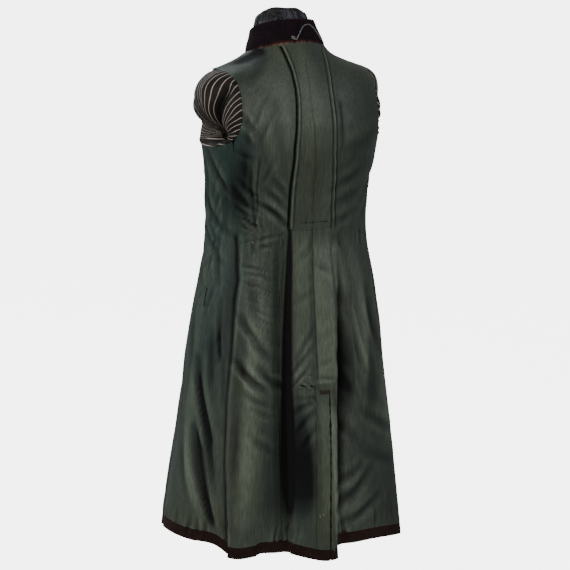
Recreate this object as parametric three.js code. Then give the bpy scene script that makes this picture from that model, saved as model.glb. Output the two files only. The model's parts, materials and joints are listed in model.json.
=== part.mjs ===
// A military greatcoat turned inside out and filled out as if worn, so that its satin lining shows.
// Millimetres, +Z up. The coat faces -Y, the wearer's left is +X, and the origin is on the midline
// at the height of the nape seam, between the shoulders that hold the coat up.
// Angles are degrees round the body from the centre back, growing toward the wearer's left.
import * as THREE from 'three';

// ---- Cloth and seams ----
const WALL = 3;                 // wool shell and satin lining together
const SEAM_GAP = 0.3;           // between two sewn pieces
const PLEAT_GAP = 0.5;          // at the skirt's box pleats, whose two sides hang to different hems
const HEM_GAP = 0.6;            // between the lining's foot and the hem band, whose folds differ a little
const WAIST_GAP = 0.5;          // between the upper panels and the skirt, measured down the body
const TRIM_WALL = 1.4;          // a strip that lies on a panel
const HEM_DEPTH = 25;           // wool hem band below the lining
const VENT_GAPS = { top: 1.2, hem: 4 };
const FACING_WIDTH = 62;        // wool facing along each front edge
const FRONT_OVERLAP = 42;       // how far each front passes the midline
const OVERLAP_LIFT = 4.6;       // the wearer's left front lies this far outside the right one

// ---- Body sections, from the collar seam down to the hem ----
// half: side to side half width. back, front: depth from the middle line at y = midY.
// square: 2 is an ellipse, more is squarer.
const BODY = [
  { z: 20, half: 78, back: 66, front: 62, midY: 16, square: 2.0 },
  { z: 0, half: 81, back: 71, front: 65, midY: 16, square: 2.0 },
  { z: -25, half: 95, back: 87, front: 75, midY: 17, square: 2.0 },
  { z: -45, half: 137, back: 98, front: 86, midY: 17, square: 2.0 },
  { z: -60, half: 181, back: 106, front: 94, midY: 17, square: 2.1 },
  { z: -75, half: 204, back: 113, front: 101, midY: 18, square: 2.2 },
  { z: -95, half: 214, back: 121, front: 108, midY: 19, square: 2.25 },
  { z: -135, half: 216, back: 130, front: 118, midY: 23, square: 2.3 },
  { z: -180, half: 211, back: 134, front: 126, midY: 30, square: 2.3 },
  { z: -240, half: 200, back: 134, front: 130, midY: 33, square: 2.3 },
  { z: -310, half: 191, back: 137, front: 119, midY: 18, square: 2.25 },
  { z: -390, half: 188, back: 134, front: 117, midY: 12, square: 2.2 },
  { z: -430, half: 189, back: 134, front: 119, midY: 12, square: 2.2 },
  { z: -480, half: 197, back: 140, front: 124, midY: 12, square: 2.2 },
  { z: -560, half: 214, back: 153, front: 137, midY: 9, square: 2.15 },
  { z: -660, half: 230, back: 168, front: 156, midY: 3, square: 2.1 },
  { z: -780, half: 244, back: 186, front: 180, midY: -3, square: 2.1 },
  { z: -900, half: 260, back: 204, front: 202, midY: -7, square: 2.1 },
  { z: -1020, half: 276, back: 220, front: 221, midY: -12, square: 2.1 },
  { z: -1150, half: 291, back: 237, front: 238, midY: -16, square: 2.1 },
];

// ---- Lines across the body: heights by angle, the same on both sides ----
const NECKLINE = [
  { angle: 0, z: 0 }, { angle: 40, z: -5 }, { angle: 70, z: -14 }, { angle: 90, z: -20 },
  { angle: 120, z: -29 }, { angle: 150, z: -41 }, { angle: 180, z: -46 },
];
const WAIST = [
  { angle: 0, z: -404 }, { angle: 20, z: -402 }, { angle: 30, z: -400 }, { angle: 45, z: -411 },
  { angle: 62, z: -428 }, { angle: 90, z: -424 }, { angle: 120, z: -418 }, { angle: 180, z: -410 },
];
const HEM = [
  { angle: -180, z: -1112 }, { angle: -110, z: -1112 }, { angle: -66, z: -1134 },
  { angle: -46, z: -1116 }, { angle: -24, z: -1106 }, { angle: -8, z: -1104 }, { angle: 22, z: -1106 },
  { angle: 36, z: -1103 }, { angle: 50, z: -1114 }, { angle: 62, z: -1093 }, { angle: 90, z: -1088 },
  { angle: 116, z: -1106 }, { angle: 180, z: -1110 },
];
// The centre back hangs lower than the rest, most of all at the vent.
const CENTRE_HEM = [
  { angle: -10, z: -1132 }, { angle: 0, z: -1135 }, { angle: 8, z: -1127 }, { angle: 22, z: -1108 },
];

// ---- Seams down the body ----
// Edges of the centre back, as distances from the midline; its left and right box pleats.
const CENTRE_BACK = [
  { z: 0, left: 46, right: 58 },
  { z: -115, left: 44, right: 50 },
  { z: -225, left: 53, right: 45 },
  { z: -404, left: 56, right: 52 },
  { z: -450, left: 61, right: 60 },
  { z: -560, left: 69, right: 56 },
  { z: -780, left: 78, right: 45 },
  { z: -1000, left: 84, right: 33 },
  { z: -1140, left: 88, right: 26 },
];
// Centre back seam above the vent, and the vent's slit, as distances toward the wearer's left.
const BACK_SEAM = [{ z: -400, x: 4 }, { z: -722, x: 5 }, { z: -743, x: -22 }, { z: -1140, x: -6 }];
const VENT_TOP_Z = -745;
const SIDE_BACK_SEAM = [
  { z: -420, angle: 61 }, { z: -550, angle: 60 }, { z: -756, angle: 57.7 }, { z: -914, angle: 56 },
  { z: -1130, angle: 52 },
];
const SIDE_FRONT_SEAM = [{ z: -420, angle: 119 }, { z: -760, angle: 121 }, { z: -1130, angle: 125 }];

// ---- Armholes: upright rounded openings on the sides; the right one sits a little further forward ----
const ARMHOLE = { z: -138, halfHeight: 82, round: 2.8 };
const ARMHOLE_PLACES = {
  left: { angle: 90, halfAngle: 31.5, throat: 78 },
  right: { angle: 93, halfAngle: 27, throat: 81 },
};
const SHOULDER_ANGLE = 90;      // the shoulder seam runs along this angle from the neck

// ---- Pleat valleys beside the centre back, and the skirt's larger folds ----
const PLEATS = [
  { z: -20, left: 0, right: 0 },
  { z: -70, left: 5, right: 3 },
  { z: -380, left: 6, right: 3 },
  { z: -450, left: 20, right: 12 },
  { z: -560, left: 32, right: 26 },
  { z: -860, left: 34, right: 30 },
  { z: -1020, left: 24, right: 18 },
  { z: -1140, left: 8, right: 6 },
];
const PLEAT_PLACE = { left: 13, right: 17, halfWidth: 12.5 };
// from, to: angles at the fold's upper and lower end. A minus depth stands out as a ridge.
const FOLDS = [
  { from: 82, to: 63, top: -700, foot: -1100, depth: 16, halfWidth: 26 },
  { from: 71, to: 69, top: -560, foot: -720, depth: 6, halfWidth: 16 },
  { from: 44, to: 42, top: -520, foot: -1060, depth: -9, halfWidth: 34 },
  { from: 100, to: 104, top: -640, foot: -1120, depth: 11, halfWidth: 30 },
  { from: 142, to: 140, top: -560, foot: -1120, depth: 13, halfWidth: 32 },
  { from: -54, to: -49, top: -560, foot: -1120, depth: -15, halfWidth: 42 },
  { from: -84, to: -80, top: -660, foot: -1110, depth: 9, halfWidth: 26 },
  { from: -102, to: -105, top: -620, foot: -1120, depth: 12, halfWidth: 30 },
  { from: -140, to: -143, top: -580, foot: -1120, depth: 12, halfWidth: 32 },
];

// ---- Grid levels, named by their height at the centre back ----
const NECK_LEVEL = 0;
const CORNER_LEVEL = -186;      // where the side seams meet the armhole
const WAIST_LEVEL = -404;
const HEM_LEVEL = -1100;
const SLIT_TOP_LEVEL = -520;
const VENT_LEVEL = -740;
const SKIRT_LEVELS = [WAIST_LEVEL, -440, -480, SLIT_TOP_LEVEL, -564, -610, -660, -720, VENT_LEVEL,
  -800, -865, -930, -990, -1045, HEM_LEVEL];

// ---- Collar, neckband, hanger ----
// lean, forward: how far the top edge draws in, and moves forward. The top edge draws in more where
// the foot lies further out than round.
const COLLAR = {
  wall: 3, gap: 1.3, lean: 13, forward: 13, round: 81, rounding: 0.35, ends: 177, columns: 40, rows: 3,
};
const COLLAR_HEIGHTS = [
  { angle: 0, z: 49 }, { angle: 35, z: 48 }, { angle: 65, z: 41 }, { angle: 90, z: 31 },
  { angle: 120, z: 18 }, { angle: 150, z: 6 }, { angle: 180, z: 2 },
];
// The silk neckband stands inside the collar and above it.
const NECKBAND = { wall: 2, columns: 36, rows: 5, ends: 172, footRise: 4 };
const NECKBAND_HEIGHTS = [
  { angle: 0, z: 72 }, { angle: 45, z: 70 }, { angle: 75, z: 61 }, { angle: 100, z: 50 },
  { angle: 140, z: 34 }, { angle: 180, z: 28 },
];
const NECKBAND_ROWS = [
  { rise: 0, inset: 4, forward: 0 },
  { rise: 0.35, inset: 5.5, forward: 1 },
  { rise: 0.7, inset: 9, forward: 5 },
  { rise: 1, inset: 15, forward: 10 },
];
const HANGER = { radius: 1.5, sides: 8, steps: 22 };
const HANGER_ROUTE = [
  { angle: 9, rise: 0.1, off: 1.9 },
  { angle: 2, rise: 0.3, off: 2.3 },
  { angle: -14, rise: 0.66, off: 3.2 },
  { angle: -30, rise: 0.72, off: 3.2 },
  { angle: -43, rise: 0.45, off: 2.4 },
  { angle: -48, rise: 0.16, off: 1.9 },
];

// ---- Sleeves: left in the body, so each puffs at its armhole and then dives inside ----
const THROAT = { z: -197, halfAngle: 5.2, halfHeight: 13 };
const PUFF_ROWS = [
  { t: 0, rise: 0 }, { t: 0.1, rise: 4 }, { t: 0.26, rise: 5 }, { t: 0.46, rise: 3 },
  { t: 0.64, rise: -2 }, { t: 0.79, rise: -8 }, { t: 0.9, rise: -17 }, { t: 1, rise: -31 },
];
// room: a puff narrower than this, from rim to throat, stands out less.
const PUFF_FOLDS = { count: 5, depth: 5, turn: 40, room: 75 };
// crown: how much more the puff's top stands out. hollow: how much less its front does.
const PUFF_SHAPES = { left: { crown: 15, hollow: 6 }, right: { crown: -9, hollow: 6 } };
// Where the top sleeve's two seams leave the armhole, in degrees from its highest place.
const SLEEVE_SEAM_TURN = 115;
// turn: how far the tube has turned from running inward to hanging down.
const SLEEVE_RINGS = [
  { x: 158, y: 56, z: -203, turn: 35, wide: 24, thick: 13 },
  { x: 142, y: 50, z: -228, turn: 70, wide: 34, thick: 13 },
  { x: 132, y: 42, z: -275, turn: 88, wide: 45, thick: 14 },
  { x: 127, y: 30, z: -350, turn: 90, wide: 53, thick: 15 },
  { x: 125, y: 24, z: -450, turn: 90, wide: 57, thick: 15 },
  { x: 125, y: 18, z: -560, turn: 90, wide: 58, thick: 16 },
  { x: 126, y: 14, z: -670, turn: 90, wide: 60, thick: 17 },
  { x: 127, y: 10, z: -768, turn: 90, wide: 62, thick: 20 },
];

// ---- Buttons on the hidden side of the closing ----
const BUTTON = { radius: 11, thickness: 4, sides: 20, off: 0.9, count: 5, first: -105, pitch: 68 };

// ---- Slit facing on each side, over the sword or pocket opening ----
const SLIT_COLUMNS = { from: 3, to: 4 };

const FINISHES = {
  satin: { color: 0x2b372e, roughness: 0.45 },
  wool: { color: 0x35231d, roughness: 0.95 },
  velvet: { color: 0x1c1113, roughness: 0.9 },
  silk: { color: 0x15161a, roughness: 0.35 },
  stripe: { color: 0x2a211f, roughness: 0.6 },
  cord: { color: 0x59615a, roughness: 0.7 },
  horn: { color: 0x1b1613, roughness: 0.4 },
};

// ---- Numbers by table ----

function slopes(xs, ys) {
  const steps = xs.slice(1).map((x, i) => (ys[i + 1] - ys[i]) / (x - xs[i]));
  return xs.map((_, i) => {
    const before = steps[Math.max(i - 1, 0)];
    const after = steps[Math.min(i, steps.length - 1)];
    return before * after <= 0 ? 0 : (2 * before * after) / (before + after);
  });
}

// A smooth curve through a table's rows that never overshoots them.
function curve(rows, at, key) {
  const sorted = [...rows].sort((a, b) => a[at] - b[at]);
  const xs = sorted.map((row) => row[at]);
  const ys = sorted.map((row) => row[key]);
  const grades = slopes(xs, ys);
  return (x) => {
    const within = THREE.MathUtils.clamp(x, xs[0], xs[xs.length - 1]);
    let i = xs.findIndex((limit) => within <= limit) - 1;
    i = Math.max(i, 0);
    const span = xs[i + 1] - xs[i];
    const u = (within - xs[i]) / span;
    const rise = ys[i + 1] - ys[i];
    const bend = grades[i] * span;
    const end = grades[i + 1] * span;
    return ys[i] + u * (bend + u * (3 * rise - 2 * bend - end + u * (bend + end - 2 * rise)));
  };
}

const rad = THREE.MathUtils.degToRad;
const deg = THREE.MathUtils.radToDeg;
const lerp = THREE.MathUtils.lerp;
const smooth = (x, from, to) => THREE.MathUtils.smoothstep(x, from, to);

// ---- The coat's surface ----

const section = Object.fromEntries(
  ['half', 'back', 'front', 'midY', 'square'].map((key) => [key, curve(BODY, 'z', key)]),
);

function bodyRadius(angle, z) {
  const depth = Math.cos(rad(angle)) >= 0 ? section.back(z) : section.front(z);
  const power = section.square(z);
  const across = Math.abs(Math.sin(rad(angle)) / section.half(z)) ** power;
  const along = Math.abs(Math.cos(rad(angle)) / depth) ** power;
  return (across + along) ** (-1 / power);
}

function bodyPoint(angle, z) {
  const radius = bodyRadius(angle, z);
  return new THREE.Vector3(
    radius * Math.sin(rad(angle)),
    section.midY(z) + radius * Math.cos(rad(angle)),
    z,
  );
}

// Normal of a surface given as a function of angle and height.
function normalOf(surface, angle, z) {
  const turn = surface(angle + 0.2, z).sub(surface(angle - 0.2, z));
  const climb = surface(angle, z + 0.5).sub(surface(angle, z - 0.5));
  return climb.cross(turn).normalize();
}

// The angle at which the body is x away from the midline, at the back or at the front.
function angleAt(x, z, front = false) {
  let angle = front ? 180 : 0;
  for (let pass = 0; pass < 12; pass += 1) {
    const turn = deg(Math.asin(THREE.MathUtils.clamp(x / bodyRadius(angle, z), -1, 1)));
    angle = front ? 180 - turn : turn;
  }
  return angle;
}

const centreLeft = curve(CENTRE_BACK, 'z', 'left');
const centreRight = curve(CENTRE_BACK, 'z', 'right');
const leftPleat = curve(PLEATS, 'z', 'left');
const rightPleat = curve(PLEATS, 'z', 'right');

const bell = (distance) => Math.exp(-(distance ** 2));

// How far the cloth stands out of the plain body section, folds and pleats counted as minus.
function drape(angle, z) {
  const round = ((angle + 540) % 360) - 180;
  const radius = bodyRadius(round, z);
  let out = 0;
  if (Math.abs(round) < 75) {
    const x = radius * Math.sin(rad(round));
    const { halfWidth } = PLEAT_PLACE;
    out -= leftPleat(z) * bell((x - centreLeft(z) - PLEAT_PLACE.left) / halfWidth);
    out -= rightPleat(z) * bell((-x - centreRight(z) - PLEAT_PLACE.right) / halfWidth);
  }
  for (const fold of FOLDS) {
    const way = (z - fold.top) / (fold.foot - fold.top);
    const away = rad(round - lerp(fold.from, fold.to, way)) * radius;
    const fade = smooth(way, -0.05, 0.45);
    out -= fold.depth * fade * bell(away / fold.halfWidth);
  }
  return out;
}

function coatPoint(angle, z) {
  const point = bodyPoint(angle, z);
  return point.addScaledVector(normalOf(bodyPoint, angle, z), drape(angle, z));
}

// The overlapping front lifts off the one below it as it nears the midline.
function overlapPoint(angle, z) {
  const point = bodyPoint(angle, z);
  const x = bodyRadius(angle, z) * Math.sin(rad(angle));
  const lift = angle > 120 ? OVERLAP_LIFT * (1 - smooth(x, 50, 100)) : 0;
  return point.addScaledVector(normalOf(bodyPoint, angle, z), drape(angle, z) + lift);
}

// ---- Levels ----

const neckline = curve(NECKLINE, 'angle', 'z');
const waistline = curve(WAIST, 'angle', 'z');
const hemline = curve(HEM, 'angle', 'z');
const centreHemline = curve(CENTRE_HEM, 'angle', 'z');

const wrap = (angle) => ((angle + 540) % 360) - 180;
const neckZ = (angle) => neckline(Math.abs(wrap(angle)));
const waistZ = (angle) => waistline(Math.abs(wrap(angle)));
const hemZ = (angle) => hemline(wrap(angle));
const liningFootZ = (angle) => hemZ(angle) + HEM_DEPTH;

// Height of a level at an angle: levels bend with the neckline, the waist and the hem.
function levelZ(level, angle, foot = liningFootZ) {
  if (level >= WAIST_LEVEL) {
    const way = level / WAIST_LEVEL;
    return lerp(neckZ(angle), waistZ(angle), way);
  }
  const way = (level - WAIST_LEVEL) / (HEM_LEVEL - WAIST_LEVEL);
  return lerp(waistZ(angle), foot(angle), way);
}

const SHOULDER_Z = ARMHOLE.z + ARMHOLE.halfHeight;
const shoulderNeckZ = neckZ(SHOULDER_ANGLE);
const SHOULDER_WAY = (SHOULDER_Z - shoulderNeckZ) / (waistZ(SHOULDER_ANGLE) - shoulderNeckZ);
const SHOULDER_LEVEL = WAIST_LEVEL * SHOULDER_WAY;
const UPPER_LEVELS = [NECK_LEVEL, -13, -25, SHOULDER_LEVEL, -41, -48, -60, -78, -102, -128, -152,
  -171, CORNER_LEVEL, -226, -270, -315, -360, WAIST_LEVEL];
const BELOW_ARMHOLE = UPPER_LEVELS.filter((level) => level <= CORNER_LEVEL);
const FULL_LEVELS = [...UPPER_LEVELS, ...SKIRT_LEVELS.slice(1)];
const SKIRT_PANEL_LEVELS = [WAIST_LEVEL - WAIST_GAP, ...SKIRT_LEVELS.slice(1)];

// ---- Seams ----

// An armhole's edges and the side seams that run down from it, for one side of the coat.
function armholeAt({ angle: middle, halfAngle, throat }) {
  const { z: middleZ, halfHeight, round } = ARMHOLE;
  const bulge = (away) => (1 - Math.min(Math.abs(away), 1) ** round) ** (1 / round);
  const edge = (way, z) => middle + way * halfAngle * bulge((z - middleZ) / halfHeight);
  const footZ = (angle) => middleZ - halfHeight * bulge((angle - middle) / halfAngle);

  // way is -1 toward the back and 1 toward the front.
  const sideEdges = (way, seamRows) => {
    let cornerZ = middleZ;
    for (let pass = 0; pass < 60; pass += 1) {
      cornerZ = lerp(cornerZ, levelZ(CORNER_LEVEL, edge(way, cornerZ)), 0.5);
    }
    const seam = curve([{ z: cornerZ, angle: edge(way, cornerZ) }, ...seamRows], 'z', 'angle');
    // The outer edge of a back or front panel: shoulder seam, armhole, then its side seam.
    const outer = (z, level) => {
      if (level >= SHOULDER_LEVEL) {
        return SHOULDER_ANGLE;
      }
      return z <= cornerZ ? seam(z) : edge(way, z);
    };
    return { seam, outer };
  };
  return {
    middle,
    halfAngle,
    throat,
    footZ,
    back: sideEdges(-1, SIDE_BACK_SEAM),
    front: sideEdges(1, SIDE_FRONT_SEAM),
  };
}

const armholes = {
  left: armholeAt(ARMHOLE_PLACES.left),
  right: armholeAt(ARMHOLE_PLACES.right),
};
const backSeamX = curve(BACK_SEAM, 'z', 'x');
const backSeam = (z) => angleAt(backSeamX(z), z);
const leftCentreEdge = (z) => angleAt(centreLeft(z), z);
const rightCentreEdge = (z) => angleAt(-centreRight(z), z);
const facingEdge = (z) => angleAt(FACING_WIDTH - FRONT_OVERLAP, z, true);
const frontEdge = (z) => angleAt(-FRONT_OVERLAP, z, true);

// Half of the slit between the two edges of the vent.
function ventHalfGap(z) {
  const way = smooth(z, -1130, VENT_TOP_Z);
  return z < VENT_TOP_Z ? lerp(VENT_GAPS.hem, VENT_GAPS.top, way) / 2 : SEAM_GAP / 2;
}

// ---- Grids and walls ----

const evenly = (count) => Array.from({ length: count + 1 }, (_, i) => i / count);

// A grid of {angle, z} between two edges, along levels; column holds the columns' places from 0 to 1,
// and inset the half gap at each edge.
function layOut({ from, to, levels, foot, top, inset = {}, column }) {
  return levels.map((level, row) => column.map((u) => {
    let angle = from(-300, WAIST_LEVEL);
    let z = level;
    for (let pass = 0; pass < 24; pass += 1) {
      const radius = bodyRadius(angle, z);
      const start = from(z, level) + deg((inset.from ? inset.from(z) : SEAM_GAP / 2) / radius);
      const end = to(z, level) - deg((inset.to ? inset.to(z) : SEAM_GAP / 2) / radius);
      angle = lerp(start, end, u);
      const fresh = row === 0 && top ? top(angle) : levelZ(level, angle, foot);
      z = lerp(z, fresh, 0.7);
    }
    return { angle, z };
  }));
}

// The points of a wall's two faces, from lift - wall to lift above the surface.
function faces(grid, { surface = coatPoint, wall = WALL, lift = 0 } = {}) {
  const face = (off) => grid.map((row) => row.map(({ angle, z }) => (
    surface(angle, z).addScaledVector(normalOf(surface, angle, z), off))));
  return [face(lift), face(lift - wall)];
}

// A closed body between two grids of points. The end faces at both sides are cut along the same
// diagonals, so that two walls that share a twisted seam lie evenly along it.
function wallGeometry([outer, inner]) {
  const rows = outer.length;
  const columns = outer[0].length;
  const positions = [...outer.flat(), ...inner.flat()].flatMap((point) => point.toArray());
  const under = rows * columns;
  const at = (row, column) => row * columns + column;
  const index = [];
  const rim = (p, q) => index.push(q, p, p + under, q, p + under, q + under);
  for (let row = 0; row < rows - 1; row += 1) {
    for (let column = 0; column < columns - 1; column += 1) {
      const [a, b] = [at(row, column), at(row, column + 1)];
      const [c, d] = [at(row + 1, column), at(row + 1, column + 1)];
      index.push(a, b, d, a, d, c);
      index.push(a + under, d + under, b + under, a + under, c + under, d + under);
    }
    const [top, foot] = [at(row, 0), at(row + 1, 0)];
    index.push(top, foot, top + under, foot, foot + under, top + under);
    rim(at(row, columns - 1), at(row + 1, columns - 1));
  }
  for (let column = 0; column < columns - 1; column += 1) {
    rim(at(0, column), at(0, column + 1));
    rim(at(rows - 1, column + 1), at(rows - 1, column));
  }
  const geometry = new THREE.BufferGeometry();
  geometry.setAttribute('position', new THREE.Float32BufferAttribute(positions, 3));
  geometry.setIndex(index);
  geometry.computeVertexNormals();
  return geometry;
}

const coat = new THREE.Group();

function add(name, finish, geometry) {
  const material = new THREE.MeshStandardMaterial({ ...FINISHES[finish], metalness: 0 });
  material.side = THREE.DoubleSide;
  const mesh = new THREE.Mesh(geometry, material);
  mesh.name = name;
  coat.add(mesh);
  return mesh;
}

// The wool band under a panel's last row, from the lining's foot to the hem.
function addHemBand(name, grid, surface = coatPoint) {
  const edge = grid[grid.length - 1];
  const rows = [-HEM_GAP, -HEM_DEPTH / 2, -HEM_DEPTH].map((drop) => (
    edge.map(({ angle, z }) => ({ angle, z: z + drop }))));
  add(name, 'wool', wallGeometry(faces(rows, { surface })));
}

// A strip lying on some of a panel's columns and rows, moved out from its points.
function addStrip(name, finish, grid, columns, rows) {
  const part = grid.slice(rows.from, rows.to + 1).map((row) => row.slice(columns.from, columns.to + 1));
  add(name, finish, wallGeometry(faces(part, { wall: TRIM_WALL, lift: SEAM_GAP + TRIM_WALL })));
}

const flip = (edge) => (z, level) => -edge(z, level);

// ---- Back ----

function addCentreBack() {
  const upper = layOut({
    from: rightCentreEdge, to: leftCentreEdge, levels: UPPER_LEVELS, column: evenly(8),
  });
  add('back_centre_upper', 'satin', wallGeometry(faces(upper)));

  const foot = (angle) => centreHemline(angle) + HEM_DEPTH;
  const pleatInset = () => PLEAT_GAP - SEAM_GAP / 2;
  const ventRow = SKIRT_LEVELS.indexOf(VENT_LEVEL);
  const lastRow = SKIRT_LEVELS.length - 1;
  const halves = [
    { side: 'left', from: backSeam, to: leftCentreEdge, inset: { from: ventHalfGap, to: pleatInset },
      column: [0, 0.17, 0.34, 0.56, 0.78, 1], strip: { from: 0, to: 2 } },
    { side: 'right', from: rightCentreEdge, to: backSeam, inset: { from: pleatInset, to: ventHalfGap },
      column: [0, 0.2, 0.46, 0.73, 1], strip: { from: 1, to: 4 } },
  ];
  for (const { side, from, to, inset, column, strip } of halves) {
    const grid = layOut({ from, to, levels: SKIRT_PANEL_LEVELS, foot, inset, column });
    add(`back_centre_skirt_${side}`, 'satin', wallGeometry(faces(grid)));
    addHemBand(`hem_centre_${side}`, grid);
    addStrip(`vent_facing_${side}`, 'satin', grid, strip, { from: ventRow, to: lastRow });
  }
}

function addSideBack(side, centreEdge, way) {
  const { outer } = armholes[side].back;
  const from = way > 0 ? centreEdge : flip(outer);
  const to = way > 0 ? outer : centreEdge;
  // Columns crowd toward the pleat beside the centre back.
  const crowd = (count) => evenly(count).map((u) => (way > 0 ? u ** 1.35 : 1 - (1 - u) ** 1.35));
  const upper = layOut({ from, to, levels: UPPER_LEVELS, column: crowd(8) });
  add(`back_side_upper_${side}`, 'satin', wallGeometry(faces(upper)));
  const skirt = layOut({ from, to, levels: SKIRT_PANEL_LEVELS, column: crowd(11) });
  add(`back_side_skirt_${side}`, 'satin', wallGeometry(faces(skirt)));
  addHemBand(`hem_back_${side}`, skirt);
  return upper;
}

// ---- Sides and fronts ----

function addSide(side, way) {
  const levels = [...BELOW_ARMHOLE, ...SKIRT_LEVELS.slice(1)];
  const { footZ, back, front } = armholes[side];
  const top = (angle) => footZ(Math.abs(angle));
  const from = way > 0 ? back.seam : flip(front.seam);
  const to = way > 0 ? front.seam : flip(back.seam);
  const columns = 8;
  const grid = layOut({ from, to, levels, column: evenly(columns), top });
  add(`side_${side}`, 'satin', wallGeometry(faces(grid)));
  addHemBand(`hem_side_${side}`, grid);
  const { from: first, to: last } = SLIT_COLUMNS;
  const strip = way > 0 ? SLIT_COLUMNS : { from: columns - last, to: columns - first };
  const slitRow = levels.indexOf(SLIT_TOP_LEVEL);
  addStrip(`slit_facing_${side}`, 'satin', grid, strip, { from: slitRow, to: slitRow + 1 });
  return grid;
}

function addFront(side, way) {
  const surface = way > 0 ? overlapPoint : coatPoint;
  const edges = [armholes[side].front.outer, facingEdge, frontEdge];
  const [outer, middle, inner] = way > 0 ? edges : edges.map(flip);
  const [from, to] = way > 0 ? [outer, middle] : [middle, outer];
  const grid = layOut({ from, to, levels: FULL_LEVELS, column: evenly(6) });
  add(`front_${side}`, 'satin', wallGeometry(faces(grid, { surface })));
  addHemBand(`hem_front_${side}`, grid, surface);
  const [start, end] = way > 0 ? [middle, inner] : [inner, middle];
  const facing = layOut({ from: start, to: end, levels: FULL_LEVELS, column: evenly(3), foot: hemZ });
  add(`front_facing_${side}`, 'wool', wallGeometry(faces(facing, { surface })));
  return grid;
}

// ---- Sleeves ----

// The armhole's rim as a closed loop of {angle, z}, read from the edges of the panels round it.
function armholeRim(back, sideGrid, front, way) {
  const first = UPPER_LEVELS.indexOf(SHOULDER_LEVEL);
  const corner = UPPER_LEVELS.indexOf(CORNER_LEVEL);
  const pick = (grid, atEnd) => grid.slice(first, corner + 1).map((row) => row[atEnd ? row.length - 1 : 0]);
  const backEdge = pick(back, way > 0);
  const frontEdgeRows = pick(front, way < 0);
  const foot = way > 0 ? sideGrid[0] : [...sideGrid[0]].reverse();
  return [...backEdge, ...foot.slice(1, -1), ...frontEdgeRows.slice(1).reverse()];
}

// How far round the armhole a place on its rim lies: 0 at the top, positive toward the front.
function turnOf({ angle, z }, side, way) {
  const { middle, halfAngle } = armholes[side];
  return Math.atan2((way * angle - middle) / halfAngle, (z - ARMHOLE.z) / ARMHOLE.halfHeight);
}

function puffRing(rim, side, way, { t, rise }) {
  const throatAngle = way * armholes[side].throat;
  const throatPoint = bodyPoint(throatAngle, THROAT.z);
  const { crown, hollow } = PUFF_SHAPES[side];
  return rim.map((place) => {
    const { angle, z } = place;
    const turn = turnOf(place, side, way);
    const ringAngle = throatAngle + way * THROAT.halfAngle * Math.sin(turn);
    const ringZ = THROAT.z + THROAT.halfHeight * Math.cos(turn);
    const reach = bodyPoint(angle, z).distanceTo(throatPoint);
    const inward = t + (SEAM_GAP / reach) * (1 - t);
    const here = { angle: lerp(angle, ringAngle, inward), z: lerp(z, ringZ, inward) };
    const wave = Math.cos(PUFF_FOLDS.count * turn + rad(PUFF_FOLDS.turn));
    const ruck = PUFF_FOLDS.depth * wave * smooth(t, 0, 0.3) * (1 - smooth(t, 0.7, 1));
    const lift = crown * Math.max(Math.cos(turn), 0) - hollow * Math.max(Math.sin(turn), 0);
    const swell = 4 * t * (1 - t) * lift;
    const room = Math.min(reach / PUFF_FOLDS.room, 1);
    const out = (rise > 0 ? rise * room : rise) + (ruck + swell) * room;
    return bodyPoint(here.angle, here.z).addScaledVector(normalOf(bodyPoint, here.angle, here.z), out);
  });
}

function tubeRing(rim, side, way, { x, y, z, turn, wide, thick }) {
  const up = new THREE.Vector3(-way * Math.sin(rad(turn)), 0, Math.cos(rad(turn)));
  return rim.map((place) => {
    const round = turnOf(place, side, way);
    return new THREE.Vector3(way * x, y - wide * Math.sin(round), z)
      .addScaledVector(up, thick * Math.cos(round));
  });
}

// Normals of a ring grid from its own neighbours, toward the lining side.
function ringNormals(rings) {
  const count = rings[0].length;
  return rings.map((ring, row) => ring.map((_, i) => {
    const above = rings[Math.max(row - 1, 0)][i];
    const below = rings[Math.min(row + 1, rings.length - 1)][i];
    const next = ring[(i + 1) % count];
    const previous = ring[(i + count - 1) % count];
    return above.clone().sub(below).cross(next.clone().sub(previous)).normalize();
  }));
}

// The columns of a ring grid from one seam on to the next, each end drawn in by half a seam gap.
function cutBetween(rings, start, end) {
  const count = rings[0].length;
  const length = (end - start + count) % count;
  const drawIn = (seam, next) => seam.lerp(next, SEAM_GAP / 2 / seam.distanceTo(next));
  return rings.map((ring) => {
    const cut = Array.from({ length: length + 1 }, (_, i) => ring[(start + i) % count].clone());
    drawIn(cut[0], cut[1]);
    drawIn(cut[length], cut[length - 1]);
    return cut;
  });
}

function addSleeve(side, rim, way) {
  const edge = way > 0 ? [...rim].reverse() : rim;
  const lining = [
    ...PUFF_ROWS.map((row) => puffRing(edge, side, way, row)),
    ...SLEEVE_RINGS.map((row) => tubeRing(edge, side, way, row)),
  ];
  const normals = ringNormals(lining);
  normals[0] = edge.map(({ angle, z }) => normalOf(bodyPoint, angle, z));
  const wool = lining.map((ring, row) => (
    ring.map((point, i) => point.clone().addScaledVector(normals[row][i], -WALL))));
  const turns = edge.map((place) => deg(turnOf(place, side, way)));
  const seamAt = (turn) => {
    const gaps = turns.map((here) => Math.abs(here - turn));
    return gaps.indexOf(Math.min(...gaps));
  };
  const [start, end] = [seamAt(-way * SLEEVE_SEAM_TURN), seamAt(way * SLEEVE_SEAM_TURN)];
  for (const [part, first, last] of [['top', start, end], ['under', end, start]]) {
    const cut = [lining, wool].map((rings) => cutBetween(rings, first, last));
    add(`sleeve_${part}_${side}`, 'stripe', wallGeometry(cut));
  }
}

// ---- Collar, neckband, hanger ----

const collarTopZ = curve(COLLAR_HEIGHTS, 'angle', 'z');

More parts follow.
